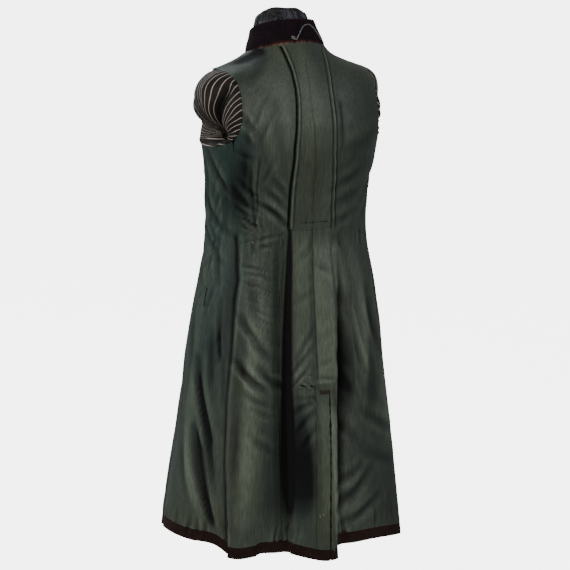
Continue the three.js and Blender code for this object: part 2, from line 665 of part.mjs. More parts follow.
function collarPoint(angle, rise) {
  const foot = bodyPoint(angle, neckZ(angle));
  const middle = new THREE.Vector3(0, section.midY(0), 0);
  const inward = middle.sub(foot).setZ(0).normalize();
  const wide = foot.clone().setZ(0).length() - COLLAR.round;
  const lean = COLLAR.lean * smooth(rise, 0, 1) + wide * COLLAR.rounding * rise;
  const top = lerp(neckZ(angle) + COLLAR.gap, collarTopZ(Math.abs(wrap(angle))), rise);
  foot.y -= COLLAR.forward * rise;
  return foot.setZ(top).addScaledVector(inward, Math.max(lean, 0));
}

const collarNormal = (angle, rise) => {
  const turn = collarPoint(angle + 0.2, rise).sub(collarPoint(angle - 0.2, rise));
  const climb = collarPoint(angle, rise + 0.02).sub(collarPoint(angle, rise - 0.02));
  return climb.cross(turn).normalize();
};

function bandWall(rowCount, columns, ends, place, wall) {
  const grid = Array.from({ length: rowCount + 1 }, (_, row) => (
    Array.from({ length: columns + 1 }, (__, column) => (
      place(lerp(-ends, ends, column / columns), 1 - row / rowCount)))));
  const outer = grid.map((row) => row.map(({ point }) => point));
  const inner = grid.map((row) => (
    row.map(({ point, normal }) => point.clone().addScaledVector(normal, -wall))));
  return wallGeometry([outer, inner]);
}

function addCollar() {
  const place = (angle, rise) => ({ point: collarPoint(angle, rise), normal: collarNormal(angle, rise) });
  add('collar', 'velvet', bandWall(COLLAR.rows, COLLAR.columns, COLLAR.ends, place, COLLAR.wall));
}

function addNeckband() {
  const inset = curve(NECKBAND_ROWS, 'rise', 'inset');
  const forward = curve(NECKBAND_ROWS, 'rise', 'forward');
  const topZ = curve(NECKBAND_HEIGHTS, 'angle', 'z');
  const place = (angle, rise) => {
    const foot = neckZ(angle) + NECKBAND.footRise;
    const z = lerp(foot, topZ(Math.abs(angle)), rise);
    const collarRise = (z - neckZ(angle)) / (collarTopZ(Math.abs(angle)) - neckZ(angle));
    const point = collarPoint(angle, Math.min(collarRise, 1)).setZ(z);
    const normal = collarNormal(angle, 0.5).setZ(0).normalize();
    point.addScaledVector(normal, -inset(rise));
    point.y -= forward(rise) * (0.5 + 0.5 * Math.cos(rad(angle)));
    return { point, normal };
  };
  add('neckband', 'silk', bandWall(NECKBAND.rows, NECKBAND.columns, NECKBAND.ends, place, NECKBAND.wall));
}

function addHanger() {
  const points = HANGER_ROUTE.map(({ angle, rise, off }) => (
    collarPoint(angle, rise).addScaledVector(collarNormal(angle, rise), off)));
  const circle = new THREE.Shape().absarc(0, 0, HANGER.radius, 0, 2 * Math.PI);
  add('hanger_loop', 'cord', new THREE.ExtrudeGeometry(circle, {
    steps: HANGER.steps,
    curveSegments: HANGER.sides / 2,
    extrudePath: new THREE.CatmullRomCurve3(points, false, 'centripetal'),
  }));
}

// ---- Buttons ----

function addButtons() {
  for (let i = 0; i < BUTTON.count; i += 1) {
    const z = BUTTON.first - i * BUTTON.pitch;
    const normal = normalOf(coatPoint, 180, z);
    const depth = WALL + BUTTON.off + BUTTON.thickness / 2;
    const button = add(`button_${i + 1}`, 'horn',
      new THREE.CylinderGeometry(BUTTON.radius, BUTTON.radius, BUTTON.thickness, BUTTON.sides));
    button.position.copy(coatPoint(180, z)).addScaledVector(normal, -depth);
    button.quaternion.setFromUnitVectors(new THREE.Vector3(0, 1, 0), normal);
  }
}

// ---- The coat ----

addCentreBack();
for (const [side, way, centreEdge] of [['left', 1, leftCentreEdge], ['right', -1, rightCentreEdge]]) {
  const back = addSideBack(side, centreEdge, way);
  const sideGrid = addSide(side, way);
  const front = addFront(side, way);
  addSleeve(side, armholeRim(back, sideGrid, front, way), way);
}
addCollar();
addNeckband();
addHanger();
addButtons();

export default coat;
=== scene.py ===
# A military greatcoat turned inside out and filled out as if worn: green satin lining, brown wool
# edges, striped sleeve linings tucked into the body. Metres, +Z up, the coat faces -Y.
import itertools
import json
import math

import bpy
import numpy as np
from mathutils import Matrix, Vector
from mathutils.bvhtree import BVHTree
from mathutils.kdtree import KDTree

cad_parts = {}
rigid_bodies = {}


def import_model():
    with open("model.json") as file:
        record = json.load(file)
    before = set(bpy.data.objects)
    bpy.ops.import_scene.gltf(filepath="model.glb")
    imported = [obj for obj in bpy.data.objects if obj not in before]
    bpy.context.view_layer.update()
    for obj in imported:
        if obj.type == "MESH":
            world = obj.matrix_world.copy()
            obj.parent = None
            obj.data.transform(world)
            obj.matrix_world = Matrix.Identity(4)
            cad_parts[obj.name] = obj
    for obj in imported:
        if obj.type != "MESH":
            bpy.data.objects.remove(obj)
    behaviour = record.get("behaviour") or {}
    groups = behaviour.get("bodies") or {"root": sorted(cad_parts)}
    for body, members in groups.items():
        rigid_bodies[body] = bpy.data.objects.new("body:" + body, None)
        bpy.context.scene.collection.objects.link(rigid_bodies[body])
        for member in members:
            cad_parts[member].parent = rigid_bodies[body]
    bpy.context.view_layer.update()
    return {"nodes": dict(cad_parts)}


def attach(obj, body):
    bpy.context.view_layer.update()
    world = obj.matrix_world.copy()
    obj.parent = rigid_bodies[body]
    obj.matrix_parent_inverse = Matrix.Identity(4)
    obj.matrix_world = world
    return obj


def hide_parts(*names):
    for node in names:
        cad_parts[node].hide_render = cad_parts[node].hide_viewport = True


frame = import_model()

# ---- Camera ----
# The view from behind and a little to the wearer's left, from just above the shoulders, through a
# long lens, so that the hem isn't much smaller than the shoulders.
eye = Vector((2.043, 4.0095, 0.320))
aim = Vector((0.0, 0.0, -0.550))
camera_data = bpy.data.cameras.new("camera")
camera_data.sensor_width = 36
camera_data.lens = 128.5
camera_data.shift_x = 0.0035
camera = bpy.data.objects.new("camera", camera_data)
camera.location = eye
camera.rotation_euler = (aim - eye).to_track_quat('-Z', 'Y').to_euler()
bpy.context.scene.collection.objects.link(camera)
bpy.context.scene.camera = camera


# ---- Studio ----
# A pale floor well below the hem, a pale surround, and four large soft lamps: the main one behind
# on the wearer's left, a fill behind on the right, and two weaker ones at the left and in front.
def linear(code):
    """A hex colour as linear red, green, blue and alpha."""
    parts = [int(code[i:i + 2], 16) / 255 for i in (1, 3, 5)]
    return (*[c / 12.92 if c <= 0.04045 else ((c + 0.055) / 1.055) ** 2.4 for c in parts], 1.0)


def set_inputs(tree, node, inputs):
    """Each input of the node takes a value, or a socket to link from."""
    for name, value in inputs.items():
        if isinstance(value, bpy.types.NodeSocket):
            tree.links.new(value, node.inputs[name])
        else:
            node.inputs[name].default_value = value


def add_node(tree, kind, settings, inputs):
    node = tree.nodes.new(kind)
    for name, value in settings.items():
        setattr(node, name, value)
    set_inputs(tree, node, inputs)
    return node


def new_material(name):
    """An empty material, its node tree and its shader."""
    material = bpy.data.materials.new(name)
    material.use_nodes = True
    return material, material.node_tree, material.node_tree.nodes["Principled BSDF"]


FLOOR_HEIGHT = -1.5
bpy.ops.object.select_all(action='DESELECT')
bpy.ops.mesh.primitive_plane_add(size=90, location=(0, 0, FLOOR_HEIGHT))
floor = bpy.context.object
floor.name = "floor"
pale_paint, tree, shader = new_material("pale_floor_paint")
set_inputs(tree, shader, {
    "Base Color": linear("#f6f6f4"), "Roughness": 0.95,
    "Emission Color": linear("#ffffff"), "Emission Strength": 5.0})
floor.data.materials.append(pale_paint)
# The floor is lit on its own, as a photographer lights a white sweep, and throws no light back.
floor.visible_diffuse = False
floor.visible_glossy = False

world = bpy.data.worlds.new("surround")
world.use_nodes = True
set_inputs(world.node_tree, world.node_tree.nodes["Background"], {
    "Color": linear("#f4f6f8"), "Strength": 0.22})
bpy.context.scene.world = world

LAMPS = (
    # place, size, watts, colour
    ((3.4, 3.4, 1.6), 2.4, 105, "#fffaf4"),
    ((-2.6, 3.6, 1.5), 2.2, 52, "#f4f7ff"),
    ((4.2, -1.0, 0.6), 2.0, 40, "#f4f7ff"),
    ((0.6, -3.2, 2.6), 2.6, 50, "#f6f8ff"),
)
for place, size, watts, tint in LAMPS:
    lamp_data = bpy.data.lights.new("softbox", 'AREA')
    lamp_data.size = size
    lamp_data.energy = watts
    lamp_data.color = linear(tint)[:3]
    lamp = bpy.data.objects.new("softbox", lamp_data)
    lamp.location = place
    lamp.rotation_euler = (aim - Vector(place)).to_track_quat('-Z', 'Y').to_euler()
    bpy.context.scene.collection.objects.link(lamp)


# ---- Cloth: how every panel is made from its solid ----
# Each panel is one thin piece of wool shell and lining. Its solid's form is copied, rounded, and
# creased where the worn cloth is pulled in at the waist, the pleats, the armholes and the hem.
MM = 0.001
# The line that angles are measured round, and the coat's mean radius, by height in mm.
BODY_HEIGHTS = (
    -1150, -1020, -900, -780, -660, -560, -480, -390, -310, -240, -180, -135, -95, -60, 0)
BODY_MIDDLES = (-16, -12, -7, -3, 3, 9, 12, 12, 18, 33, 30, 23, 19, 17, 16)
BODY_RADII = (260, 240, 222, 205, 190, 175, 162, 152, 155, 160, 165, 165, 160, 140, 75)


def middle_at(height):
    return np.interp(height, BODY_HEIGHTS, BODY_MIDDLES)


def radius_at(height):
    return np.interp(height, BODY_HEIGHTS, BODY_RADII)


def body_places(points):
    """Angle from the centre back in degrees, plus toward the wearer's left, and height in mm."""
    mm = points / MM
    height = mm[:, 2]
    return np.degrees(np.arctan2(mm[:, 0], mm[:, 1] - middle_at(height))), height


def outward(points):
    """Level directions away from the body's middle line."""
    beside = points[:, 1] - middle_at(points[:, 2] / MM) * MM
    away = np.column_stack([points[:, 0], beside, np.zeros(len(points))])
    return away / np.linalg.norm(away, axis=1)[:, None]


def crease_depth(angle, height, rows):
    """How far soft creases press the cloth in, in mm; a minus depth raises a ridge."""
    around = np.radians(angle) * radius_at(height)
    total = np.zeros(len(angle))
    for from_angle, from_z, to_angle, to_z, bow, width, depth in rows:
        start, end = (np.array([math.radians(a) * radius_at(z), z])
                      for a, z in ((from_angle, from_z), (to_angle, to_z)))
        run = end - start
        length = max(np.hypot(*run), 1.0)
        along = ((around - start[0]) * run[0] + (height - start[1]) * run[1]) / length
        aside = ((around - start[0]) * -run[1] + (height - start[1]) * run[0]) / length
        way = along / length
        aside = aside - bow * 4 * np.clip(way, 0, 1) * (1 - np.clip(way, 0, 1))
        past = np.maximum(np.maximum(-along, along - length), 0) / (1.5 * width)
        fade = np.sqrt(np.clip(np.sin(np.pi * np.clip(way, 0.08, 0.92)), 0, 1)) * np.exp(-past ** 2)
        lip = 0.38 * np.exp(-((np.abs(aside) - 1.9 * width) / (0.9 * width)) ** 2)
        total += depth * fade * (np.exp(-(aside / width) ** 2) - lip)
    return total


def beside_line(angle, height, rows, shift, width):
    """1 along a line down the coat, given as height and distance from the midline, fading to 0."""
    across = np.sin(np.radians(angle)) * radius_at(height)
    heights, places = np.array(sorted(rows)).T
    inside = np.clip((height - heights[0]) / 12, 0, 1) * np.clip((heights[-1] - height) / 12, 0, 1)
    inside *= np.abs(angle) < 75
    return inside * np.exp(-((across - shift - np.interp(height, heights, places)) / width) ** 2)


def band(angle, height, rows, soft):
    """A strip down the coat between two angles, 0 to its amount, its edges soft by some degrees."""
    heights, low, high, amount = np.array(sorted(rows)).T
    inside = np.clip((angle - np.interp(height, heights, low)) / soft + 0.5, 0, 1)
    inside *= np.clip((np.interp(height, heights, high) - angle) / soft + 0.5, 0, 1)
    return inside * np.interp(height, heights, amount, left=0, right=0)


def scattered(seed, count, angles, heights, lean, length, width, depth):
    """Creases of one family, uneven in place, length and depth. lean: degrees off the upright."""
    draw = np.random.RandomState(seed)
    rows = []
    for _ in range(count):
        angle = draw.uniform(*angles)
        z = draw.uniform(*heights)
        tilt = math.radians(lean + draw.uniform(-9, 9))
        long = length * draw.uniform(0.6, 1.4)
        turn = math.degrees(long * math.sin(tilt) / radius_at(z))
        rows.append((angle, z, angle + turn, z - long * math.cos(tilt), draw.uniform(-4, 4),
                     width * draw.uniform(0.7, 1.3), depth * draw.uniform(0.4, 1.2)))
    return rows


# from angle, from height, to angle, to height, bow, width, depth: degrees and mm
CREASES = [
    # left side back, above the waist: folds that run down and in to the pleat
    (54, -250, 50, -378, 3, 3.5, 3.2),
    (50, -338, 28, -388, -5, 6, 6.5),
    (44, -312, 29, -352, -3, 6, 3.6),
    (38, -288, 28, -330, -2, 6, 3.0),
    (47, -180, 40, -300, 5, 11, 2.6),
    (38, -130, 33, -260, 4, 12, 1.8),
    (61, -292, 52, -318, 2, 5, 3.2),
    (67, -304, 53, -352, 3, 6, 4.0),
    (63, -349, 53, -372, 2, 4.5, 3.4),
    (59, -372, 50, -392, 1, 4, 2.8),
    (58, -150, 51, -188, 3, 6, 3.6),
    (57, -186, 54, -214, 2, 5, 3.0),
    (63, -228, 55, -240, 1, 5, 2.4),
    (60, -240, 57, -292, 0, 7, 2.4),
    # beside the shoulder seam
    (100, -44, 62, -20, 2, 7, 3.2),
    (60, -78, 53, -36, 3, 8, 2.4),
    (70, -92, 62, -56, 2, 6, 1.8),
    # left side: long folds that lean back from the armhole to the waist
    (88, -236, 74, -306, 4, 7, 4.2),
    (74, -300, 72, -392, -2, 6, 3.2),
    (104, -296, 72, -408, 6, 8, 4.2),
    (112, -330, 76, -470, 4, 7, 3.4),
    (82, -262, 66, -330, 3, 5, 3.0),
    (116, -392, 92, -520, 3, 8, 3.2),
    (80, -430, 74, -520, 2, 6, 3.0),
    (92, -250, 84, -420, 4, 6, 2.4),
    # left side of the skirt: folds running down from the slit
    (70, -560, 68, -690, 1, 4.5, 3.6),
    (64, -690, 62, -790, 0, 4.5, 2.8),
    (81, -700, 69, -860, 8, 9, 7.5),
    (80, -850, 64, -1045, 10, 9, 8.5),
    (92, -600, 88, -700, 2, 9, 2.6),
    (86, -900, 78, -1010, 4, 8, 2.4),
    # left back of the skirt: gathers at the waist, then folds that lean down to the pleat
    (62, -372, 53, -378, 0, 2.5, 3.0),
    (61, -383, 52, -390, 1, 2.5, 2.8),
    (60, -394, 53, -399, 0, 2.5, 2.4),
    (59, -405, 53, -408, 1, 2.5, 2.0),
    (52, -360, 49, -402, 1, 3, 3.4),
    (47, -372, 44, -404, 1, 3, 2.6),
    (50, -424, 31, -412, -3, 4, 2.4),
    (47, -440, 35, -430, -2, 4, 1.6),
    (58, -478, 44, -490, -3, 3, 2.4),
    (52, -496, 40, -502, -2, 3, 1.8),
    (56, -512, 48, -524, 1, 3, 1.6),
    (56, -590, 47, -630, 2, 7, 3.4),
    (48, -626, 37, -676, 3, 8, 4.2),
    (55, -690, 39, -742, 5, 8, 7.0),
    (41, -702, 27, -752, 4, 7, 5.0),
    (48, -757, 37, -778, 2, 6, 3.0),
    (43, -785, 33, -806, 2, 5, 2.8),
    (44, -846, 32, -884, 3, 8, 2.6),
    (50, -520, 44, -600, 3, 9, 2.6),
    (52, -820, 50, -980, 3, 10, 2.2),
    # left half of the centre back's skirt: crinkles that fan from the piecing seam
    (21, -738, 0, -748, 0, 1.8, 3.0),
    (20, -714, 5, -662, -2, 5, 3.4),
    (17, -690, 6, -628, -2, 6, 2.4),
    (19, -740, 9, -706, -1, 4, 2.6),
    (18, -768, 4, -768, 1, 5, 2.4),
    (20, -800, 5, -778, -2, 6, 3.2),
    (17, -838, 5, -802, -2, 6, 2.6),
    (13, -874, 4, -838, -2, 6, 2.8),
    (15, -470, 4, -440, -1, 7, 1.4),
    (18, -560, 4, -540, -2, 8, 1.2),
    # the strip right of the centre back seam
    (1, -728, -13, -735, 0, 5, 2.2),
    (0, -700, -14, -690, 1, 6, 1.4),
    (-1, -640, -15, -628, 1, 8, 1.2),
    (1, -480, -15, -498, 1, 8, 1.2),
    # right side back above the waist: wide shallow folds toward the armhole
    (-28, -240, -58, -200, 4, 13, 3.2),
    (-23, -312, -50, -268, 4, 13, 3.6),
    (-24, -274, -54, -232, 3, 12, 3.0),
    (-24, -350, -48, -318, 3, 12, 2.6),
    (-24, -390, -40, -376, 2, 9, 2.2),
    # right side of the skirt
    (-24, -470, -30, -600, -4, 14, 2.0),
    (-25, -597, -24, -703, 3, 12, 4.0),
    (-24, -700, -22, -782, 3, 13, 3.5),
    (-31, -600, -38, -730, 2, 6, 4.0),
    (-25, -550, -37, -690, 3, 7, -2.6),
    (-17, -680, -28, -776, 3, 8, 3.4),
    (-14, -806, -24, -872, 2, 9, 3.0),
    (-52, -552, -55, -690, 2, 11, 5.0),
    (-42, -600, -40, -740, -3, 12, -3.2),
    (-34, -818, -56, -880, 3, 9, 3.6),
    (-9, -1024, -33, -950, 5, 11, 4.8),
    (-14, -1058, -37, -1014, 4, 9, 4.4),
    (-10, -976, -27, -936, 3, 9, 3.2),
    (-30, -900, -52, -946, 3, 12, 2.4),
]
# Gathers above the hem band, crinkles, and like folds on the sides that face away: seed, count,
# angles, heights, lean, length, width, depth.
FAMILIES = (
    (3, 11, (15, 35), (-1058, -1048), 6, 34, 3.6, 3.6),
    (4, 8, (56, 76), (-1050, -1036), -8, 34, 4.0, 3.6),
    (5, 6, (76, 112), (-1050, -1030), -8, 26, 4.5, 2.4),
    (6, 5, (-18, -7), (-1062, -1052), 4, 26, 3.4, 2.6),
    (7, 14, (-108, -30), (-1056, -1034), 4, 26, 4.0, 1.8),
    (8, 18, (112, 240), (-1050, -1030), 0, 28, 4.5, 2.4),
    (9, 10, (30, 60), (-424, -412), -5, 30, 3.2, 1.8),
    (10, 8, (-58, -26), (-420, -408), 5, 34, 4.0, 1.6),
    # fine crinkles of worn satin, nearly level
    (31, 10, (8, 19), (-790, -650), -55, 34, 2.2, 1.8),
    (32, 22, (40, 55), (-730, -430), -72, 38, 2.4, 1.6),
    (33, 14, (-12, 0), (-720, -440), -80, 20, 2.2, 1.1),
    (34, 12, (52, 62), (-400, -300), -60, 26, 2.4, 2.4),
    (35, 12, (66, 100), (-560, -250), 20, 60, 4.0, 1.8),
    (36, 8, (36, 52), (-250, -90), 25, 60, 5.0, 1.4),
    # the sides that face away
    (21, 7, (-112, -68), (-330, -240), 34, 90, 8, 3.2),
    (22, 7, (-112, -68), (-640, -470), 8, 130, 9, 3.0),
    (23, 6, (-110, -66), (-900, -760), -10, 150, 11, 4.0),
    (24, 9, (125, 172), (-380, -160), 24, 90, 9, 2.6),
    (25, 9, (188, 235), (-380, -160), -24, 90, 9, 2.6),
    (26, 10, (122, 240), (-640, -450), 0, 140, 11, 3.2),
    (27, 10, (122, 240), (-950, -720), 3, 170, 13, 4.4),
    (28, 5, (84, 116), (-960, -640), -6, 150, 11, 3.6),
)
for family in FAMILIES:
    CREASES += scattered(*family)
# Lines down the back, as height and distance from the midline.
LEFT_PLEAT = ((1, 50), (-60, 50), (-118, 50), (-223, 61), (-300, 62), (-404, 62))
RIGHT_PLEAT = ((-9, -66), (-112, -57), (-170, -54), (-229, -51), (-330, -54), (-412, -58))
SIDE_SEAM = ((-405, 139), (-507, 145), (-550, 152), (-756, 175), (-914, 190), (-1092, 202))
CENTRE_SEAM = ((-392, 2), (-560, 6), (-740, 4))
CENTRE_FOLD = ((-30, 2), (-118, 12), (-240, 6), (-380, 3))
PLEAT_LINES = (
    # line, mm beside it, half width and depth in mm, how much painted shade; minus is raised, and
    # has a painted highlight
    (LEFT_PLEAT, 0.5, 2.8, 7.0, 1.3),
    (LEFT_PLEAT, -5.5, 2.6, -2.4, -0.6),
    (LEFT_PLEAT, -11.5, 2.2, 2.2, 0.55),
    (RIGHT_PLEAT, 5, 2.2, 3.0, 0.75),
    (RIGHT_PLEAT, 0, 2.6, -1.8, -0.55),
    (RIGHT_PLEAT, -5.5, 2.4, 3.2, 0.85),
    (CENTRE_SEAM, 0, 1.8, 1.6, 0.75),
    (SIDE_SEAM, 0, 1.8, 2.0, 1.0),
    (SIDE_SEAM, -4.5, 2.0, -1.0, -0.3),
    (CENTRE_FOLD, 0, 2.2, 0.8, 0.25),
    (((-120, -78), (-235, -72)), 0, 2.4, 1.8, 0.6),
)
# Long folds, most of them down the skirt, each as rows of height, from angle, to angle, amount.
LONG_FOLDS = (
    # rows, soft edge in degrees, depth in mm, how much painted shade; minus is a painted highlight
    (((-398, 21.5, 24.5, 0.9), (-464, 21, 26.5, 1), (-550, 21.5, 28, 1), (-640, 21, 28.5, 1),
      (-725, 20.5, 28.5, 1), (-812, 19.5, 28.5, 1), (-920, 19, 28, 0.85), (-1020, 20, 26.5, 0.6),
      (-1090, 21, 24, 0)), 2, 3.5, 1.2),
    (((-740, 17, 22, 0), (-790, 13, 23, 0.5), (-840, 9.5, 24, 0.85), (-885, 7, 25, 1),
      (-935, 6, 25, 1), (-985, 6, 24, 0.95), (-1020, 8.5, 22, 0.5),
      (-1045, 13, 20, 0)), 4.5, 1.5, 1.0),
    (((-790, -12, -6.4, 0), (-830, -12, -6.4, 0.9), (-1030, -10.5, -5.8, 0.9),
      (-1090, -10, -5.5, 0.4)), 1.2, 0, -0.8),
    (((-820, 29, 33, 0), (-880, 29, 36, 0.5), (-1000, 27, 36, 0.7),
      (-1070, 26, 33, 0)), 4, 2.0, 0.7),
    (((-530, -22, -21, 0), (-575, -26, -21, 0.5), (-620, -31, -20, 0.95), (-680, -31, -19, 1),
      (-745, -30, -17.5, 1), (-800, -25, -15.5, 0.7), (-870, -19, -13, 0.6),
      (-1060, -13, -9.5, 0)), 2.5, 2.5, 0.72),
    (((-560, -33, -32, 0), (-610, -37, -33, 0.8), (-700, -40, -36, 0.8),
      (-770, -38, -34, 0)), 3, -3.5, -0.6),
    (((-640, -46, -44, 0), (-700, -47, -42, 0.7), (-790, -46, -38, 0.8),
      (-850, -40, -33, 0)), 3, 2.5, 0.7),
    (((-680, -56, -53, 0), (-740, -56, -50, 0.7), (-850, -54, -48, 0.7),
      (-930, -50, -46, 0)), 3, -3, -0.5),
    (((-425, -24, -20, 0), (-450, -32, -19, 0.8), (-530, -34, -20, 0.7),
      (-570, -33, -27, 0)), 3, -2, -0.8),
    (((-430, -44, -40, 0), (-500, -47, -39, 0.5), (-600, -47, -41, 0.4),
      (-660, -46, -44, 0)), 4, -2, -0.4),
    (((-610, 72, 74, 0), (-650, 71, 75, 0.8), (-720, 69.5, 73, 0.8),
      (-770, 69, 71, 0)), 1.6, 2.5, 0.8),
    (((-715, 80, 81, 0), (-747, 78.5, 81.3, 0.8), (-779, 74.7, 79.1, 1), (-821, 71.2, 76.6, 1),
      (-864, 68, 73.6, 1), (-906, 65.6, 70.3, 0.85), (-945, 63.5, 67.4, 0.6),
      (-985, 62, 65, 0)), 1.1, 4, 0.95),
    (((-845, 78, 79, 0), (-860, 76.7, 78.9, 0.7), (-889, 72.9, 77, 1), (-932, 69.7, 74.1, 1),
      (-975, 66.7, 71.4, 1), (-1007, 64.8, 69.3, 1), (-1039, 63, 66.8, 0.9),
      (-1072, 61, 64, 0)), 1.1, 5, 0.95),
    (((-600, 69.5, 70.6, 0), (-640, 67.5, 70.1, 0.9), (-673, 65.8, 68.3, 0.9),
      (-695, 66, 67, 0)), 0.9, 2, 0.9),
    (((-225, 49, 50, 0), (-250, 49, 50.2, 0.9), (-360, 48.6, 49.9, 0.9),
      (-375, 48.6, 49.8, 0)), 0.8, 1.2, 0.8),
    (((-700, 84, 87, 0), (-800, 82, 89, 0.8), (-960, 76, 82, 0.6),
      (-1030, 71, 76, 0)), 3, -3, -0.5),
    (((-560, 49, 56, 0), (-640, 50, 57, 0.5), (-860, 51, 57, 0.6), (-1060, 52, 57, 0.2),
      (-1080, 53, 56, 0)), 2.5, 1.5, 0.6),
    (((-560, 40, 48, 0), (-700, 42, 50, 0.5), (-900, 40, 50, 0.9), (-1040, 42, 50, 0.4),
      (-1070, 44, 48, 0)), 6, -2.5, -0.55),
    (((-410, -17, 2, 0), (-440, -17, 1, 0.6), (-560, -17, 2, 0.75), (-735, -14, 1, 0.7),
      (-745, -13, 0, 0)), 2, 0, -0.75),
    (((-400, 5, 20, 0), (-440, 6, 19, 0.5), (-640, 7, 18, 0.45), (-760, 6, 17, 0.2),
      (-800, 6, 14, 0)), 3, 0, -0.7),
    (((-755, -9, 1.5, 0), (-790, -9, 1, 0.5), (-1000, -8, 1.5, 0.45),
      (-1090, -7, 2, 0)), 2, 0, -0.7),
)


def pressed(angle, height):
    """All the creases together: mm inward, and their painted shading, shade in the hollows and
    highlight on the ridges.
    """
    turned = np.where(angle < -121, angle + 360, angle)
    depth = crease_depth(turned, height, CREASES)
    # Painted shade in the creases' hollows, and a lighter painted highlight on their ridges.
    tone = np.clip(depth / 7, -0.45, 0.8)
    for rows, shift, width, deep, dark in PLEAT_LINES:
        amount = beside_line(angle, height, rows, shift, width)
        depth += amount * deep
        tone += amount * dark
    for rows, soft, deep, dark in LONG_FOLDS:
        amount = band(turned, height, rows, soft)
        depth += amount * deep
        tone += amount * dark
    return depth, tone


def rounded_copy(node, levels):
    """A CAD solid's copy, merged, its wall edges kept crisp and its faces rounded."""
    bpy.ops.object.select_all(action='DESELECT')
    piece = bpy.data.objects.new(f"{node}_cloth", frame["nodes"][node].data.copy())
    bpy.context.scene.collection.objects.link(piece)
    piece.data.materials.clear()
    piece.select_set(True)
    bpy.context.view_layer.objects.active = piece
    bpy.ops.mesh.customdata_custom_splitnormals_clear()
    bpy.ops.object.mode_set(mode='EDIT')
    bpy.ops.mesh.select_all(action='SELECT')
    bpy.ops.mesh.remove_doubles(threshold=0.00002)
    bpy.ops.mesh.tris_convert_to_quads(
        face_threshold=math.radians(60), shape_threshold=math.radians(70))
    bpy.ops.mesh.select_mode(type='EDGE')
    bpy.ops.mesh.select_all(action='DESELECT')
    bpy.ops.mesh.edges_select_sharp(sharpness=math.radians(62))
    bpy.ops.transform.edge_crease(value=1)
    bpy.ops.object.mode_set(mode='OBJECT')
    rounding = piece.modifiers.new("rounding", 'SUBSURF')
    rounding.levels = rounding.render_levels = levels
    bpy.ops.object.modifier_apply(modifier=rounding.name)
    return piece


def points_of(piece):
    points = np.empty(len(piece.data.vertices) * 3)
    piece.data.vertices.foreach_get("co", points)
    return points.reshape(-1, 3)


def set_points(piece, points):
    piece.data.vertices.foreach_set("co", points.ravel())
    piece.data.update()


def paint(piece, name, values):
    """A soft-edged patch of wear, stored on the mesh from 0 to 1."""
    layer = piece.data.attributes.new(name, 'FLOAT', 'POINT')
    layer.data.foreach_set("value", np.clip(values, 0, 1).astype(np.float32))


# Patches of colour, stains and painted shading: middle angle, middle height, half width in degrees,
# half height in mm, amount. The painted shading is painted shade where plus, and a painted
# highlight where minus.
PATCHES = {
    "teal": (
        (85, -330, 24, 170, 0.9), (80, -650, 22, 190, 0.7), (62, -270, 8, 110, 0.8),
        (86, -60, 20, 14, 0.9), (70, -34, 16, 20, 0.5), (66, -215, 14, 30, 0.9),
        (92, -900, 22, 120, 0.35), (60, -480, 7, 80, 0.8), (14, -930, 9, 130, 0.7),
    ),
    "olive": (
        (-8, -640, 8, 130, 0.9), (-2, -980, 9, 160, 0.7), (8, -500, 14, 100, 0.45),
        (0, -200, 22, 190, 0.4), (47, -900, 9, 120, 0.5), (30, -20, 26, 22, 0.5),
        (52, -720, 7, 40, 0.5), (70, -1040, 20, 50, 0.4),
    ),
    "stain": (
        (57, -458, 1.6, 18, 0.4), (2, -260, 3, 110, 0.25), (46, -870, 4, 46, 0.2),
        (53, -1050, 5, 30, 0.2), (-16, -60, 3, 34, 0.2), (-4, -752, 2.5, 9, 0.7),
    ),
    "tone": (
        (61, -300, 8.5, 85, 0.7), (66, -330, 5, 40, 0.3), (68, -30, 16, 18, 0.5),
        (72, -20, 12, 12, 0.8), (82, -38, 10, 10, 0.8), (-50, -140, 20, 90, 0.25),
        (101, -300, 5, 120, 0.4), (57, -215, 4, 26, 0.35), (-46, -300, 22, 90, 0.2),
        (-70, -500, 16, 300, 0.25), (-45, -1000, 14, 110, 0.3), (34, -120, 16, 90, -0.3),
        (6, -110, 12, 100, -0.3), (45, -600, 8, 90, -0.3), (-46, -560, 6, 70, -0.25),
        (110, -420, 10, 90, 0.35), (88, -560, 7, 150, -0.2), (64, -560, 4, 140, 0.3),
        (-14, -330, 8, 60, -0.15),
    ),
}


def patches(angle, height, rows):
    total = np.zeros(len(angle))
    for middle, z, wide, tall, amount in rows:
        away = ((angle - middle) / wide) ** 2 + ((height - z) / tall) ** 2
        total += amount * np.exp(-away ** 1.5)
    return total


def finish(piece, node, material, sharp=50):
    """The piece gets its material and shading, and stands for its solid."""
    piece.data.materials.append(material)
    bpy.ops.object.shade_smooth_by_angle(angle=math.radians(sharp))
    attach(piece, "root")
    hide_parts(node)


# The step at the left side seam's foot: where it starts, and how far each side moves, in mm.
HEM_STEP_TOP, HEM_DROP, HEM_LIFT = -1000, 5, 4


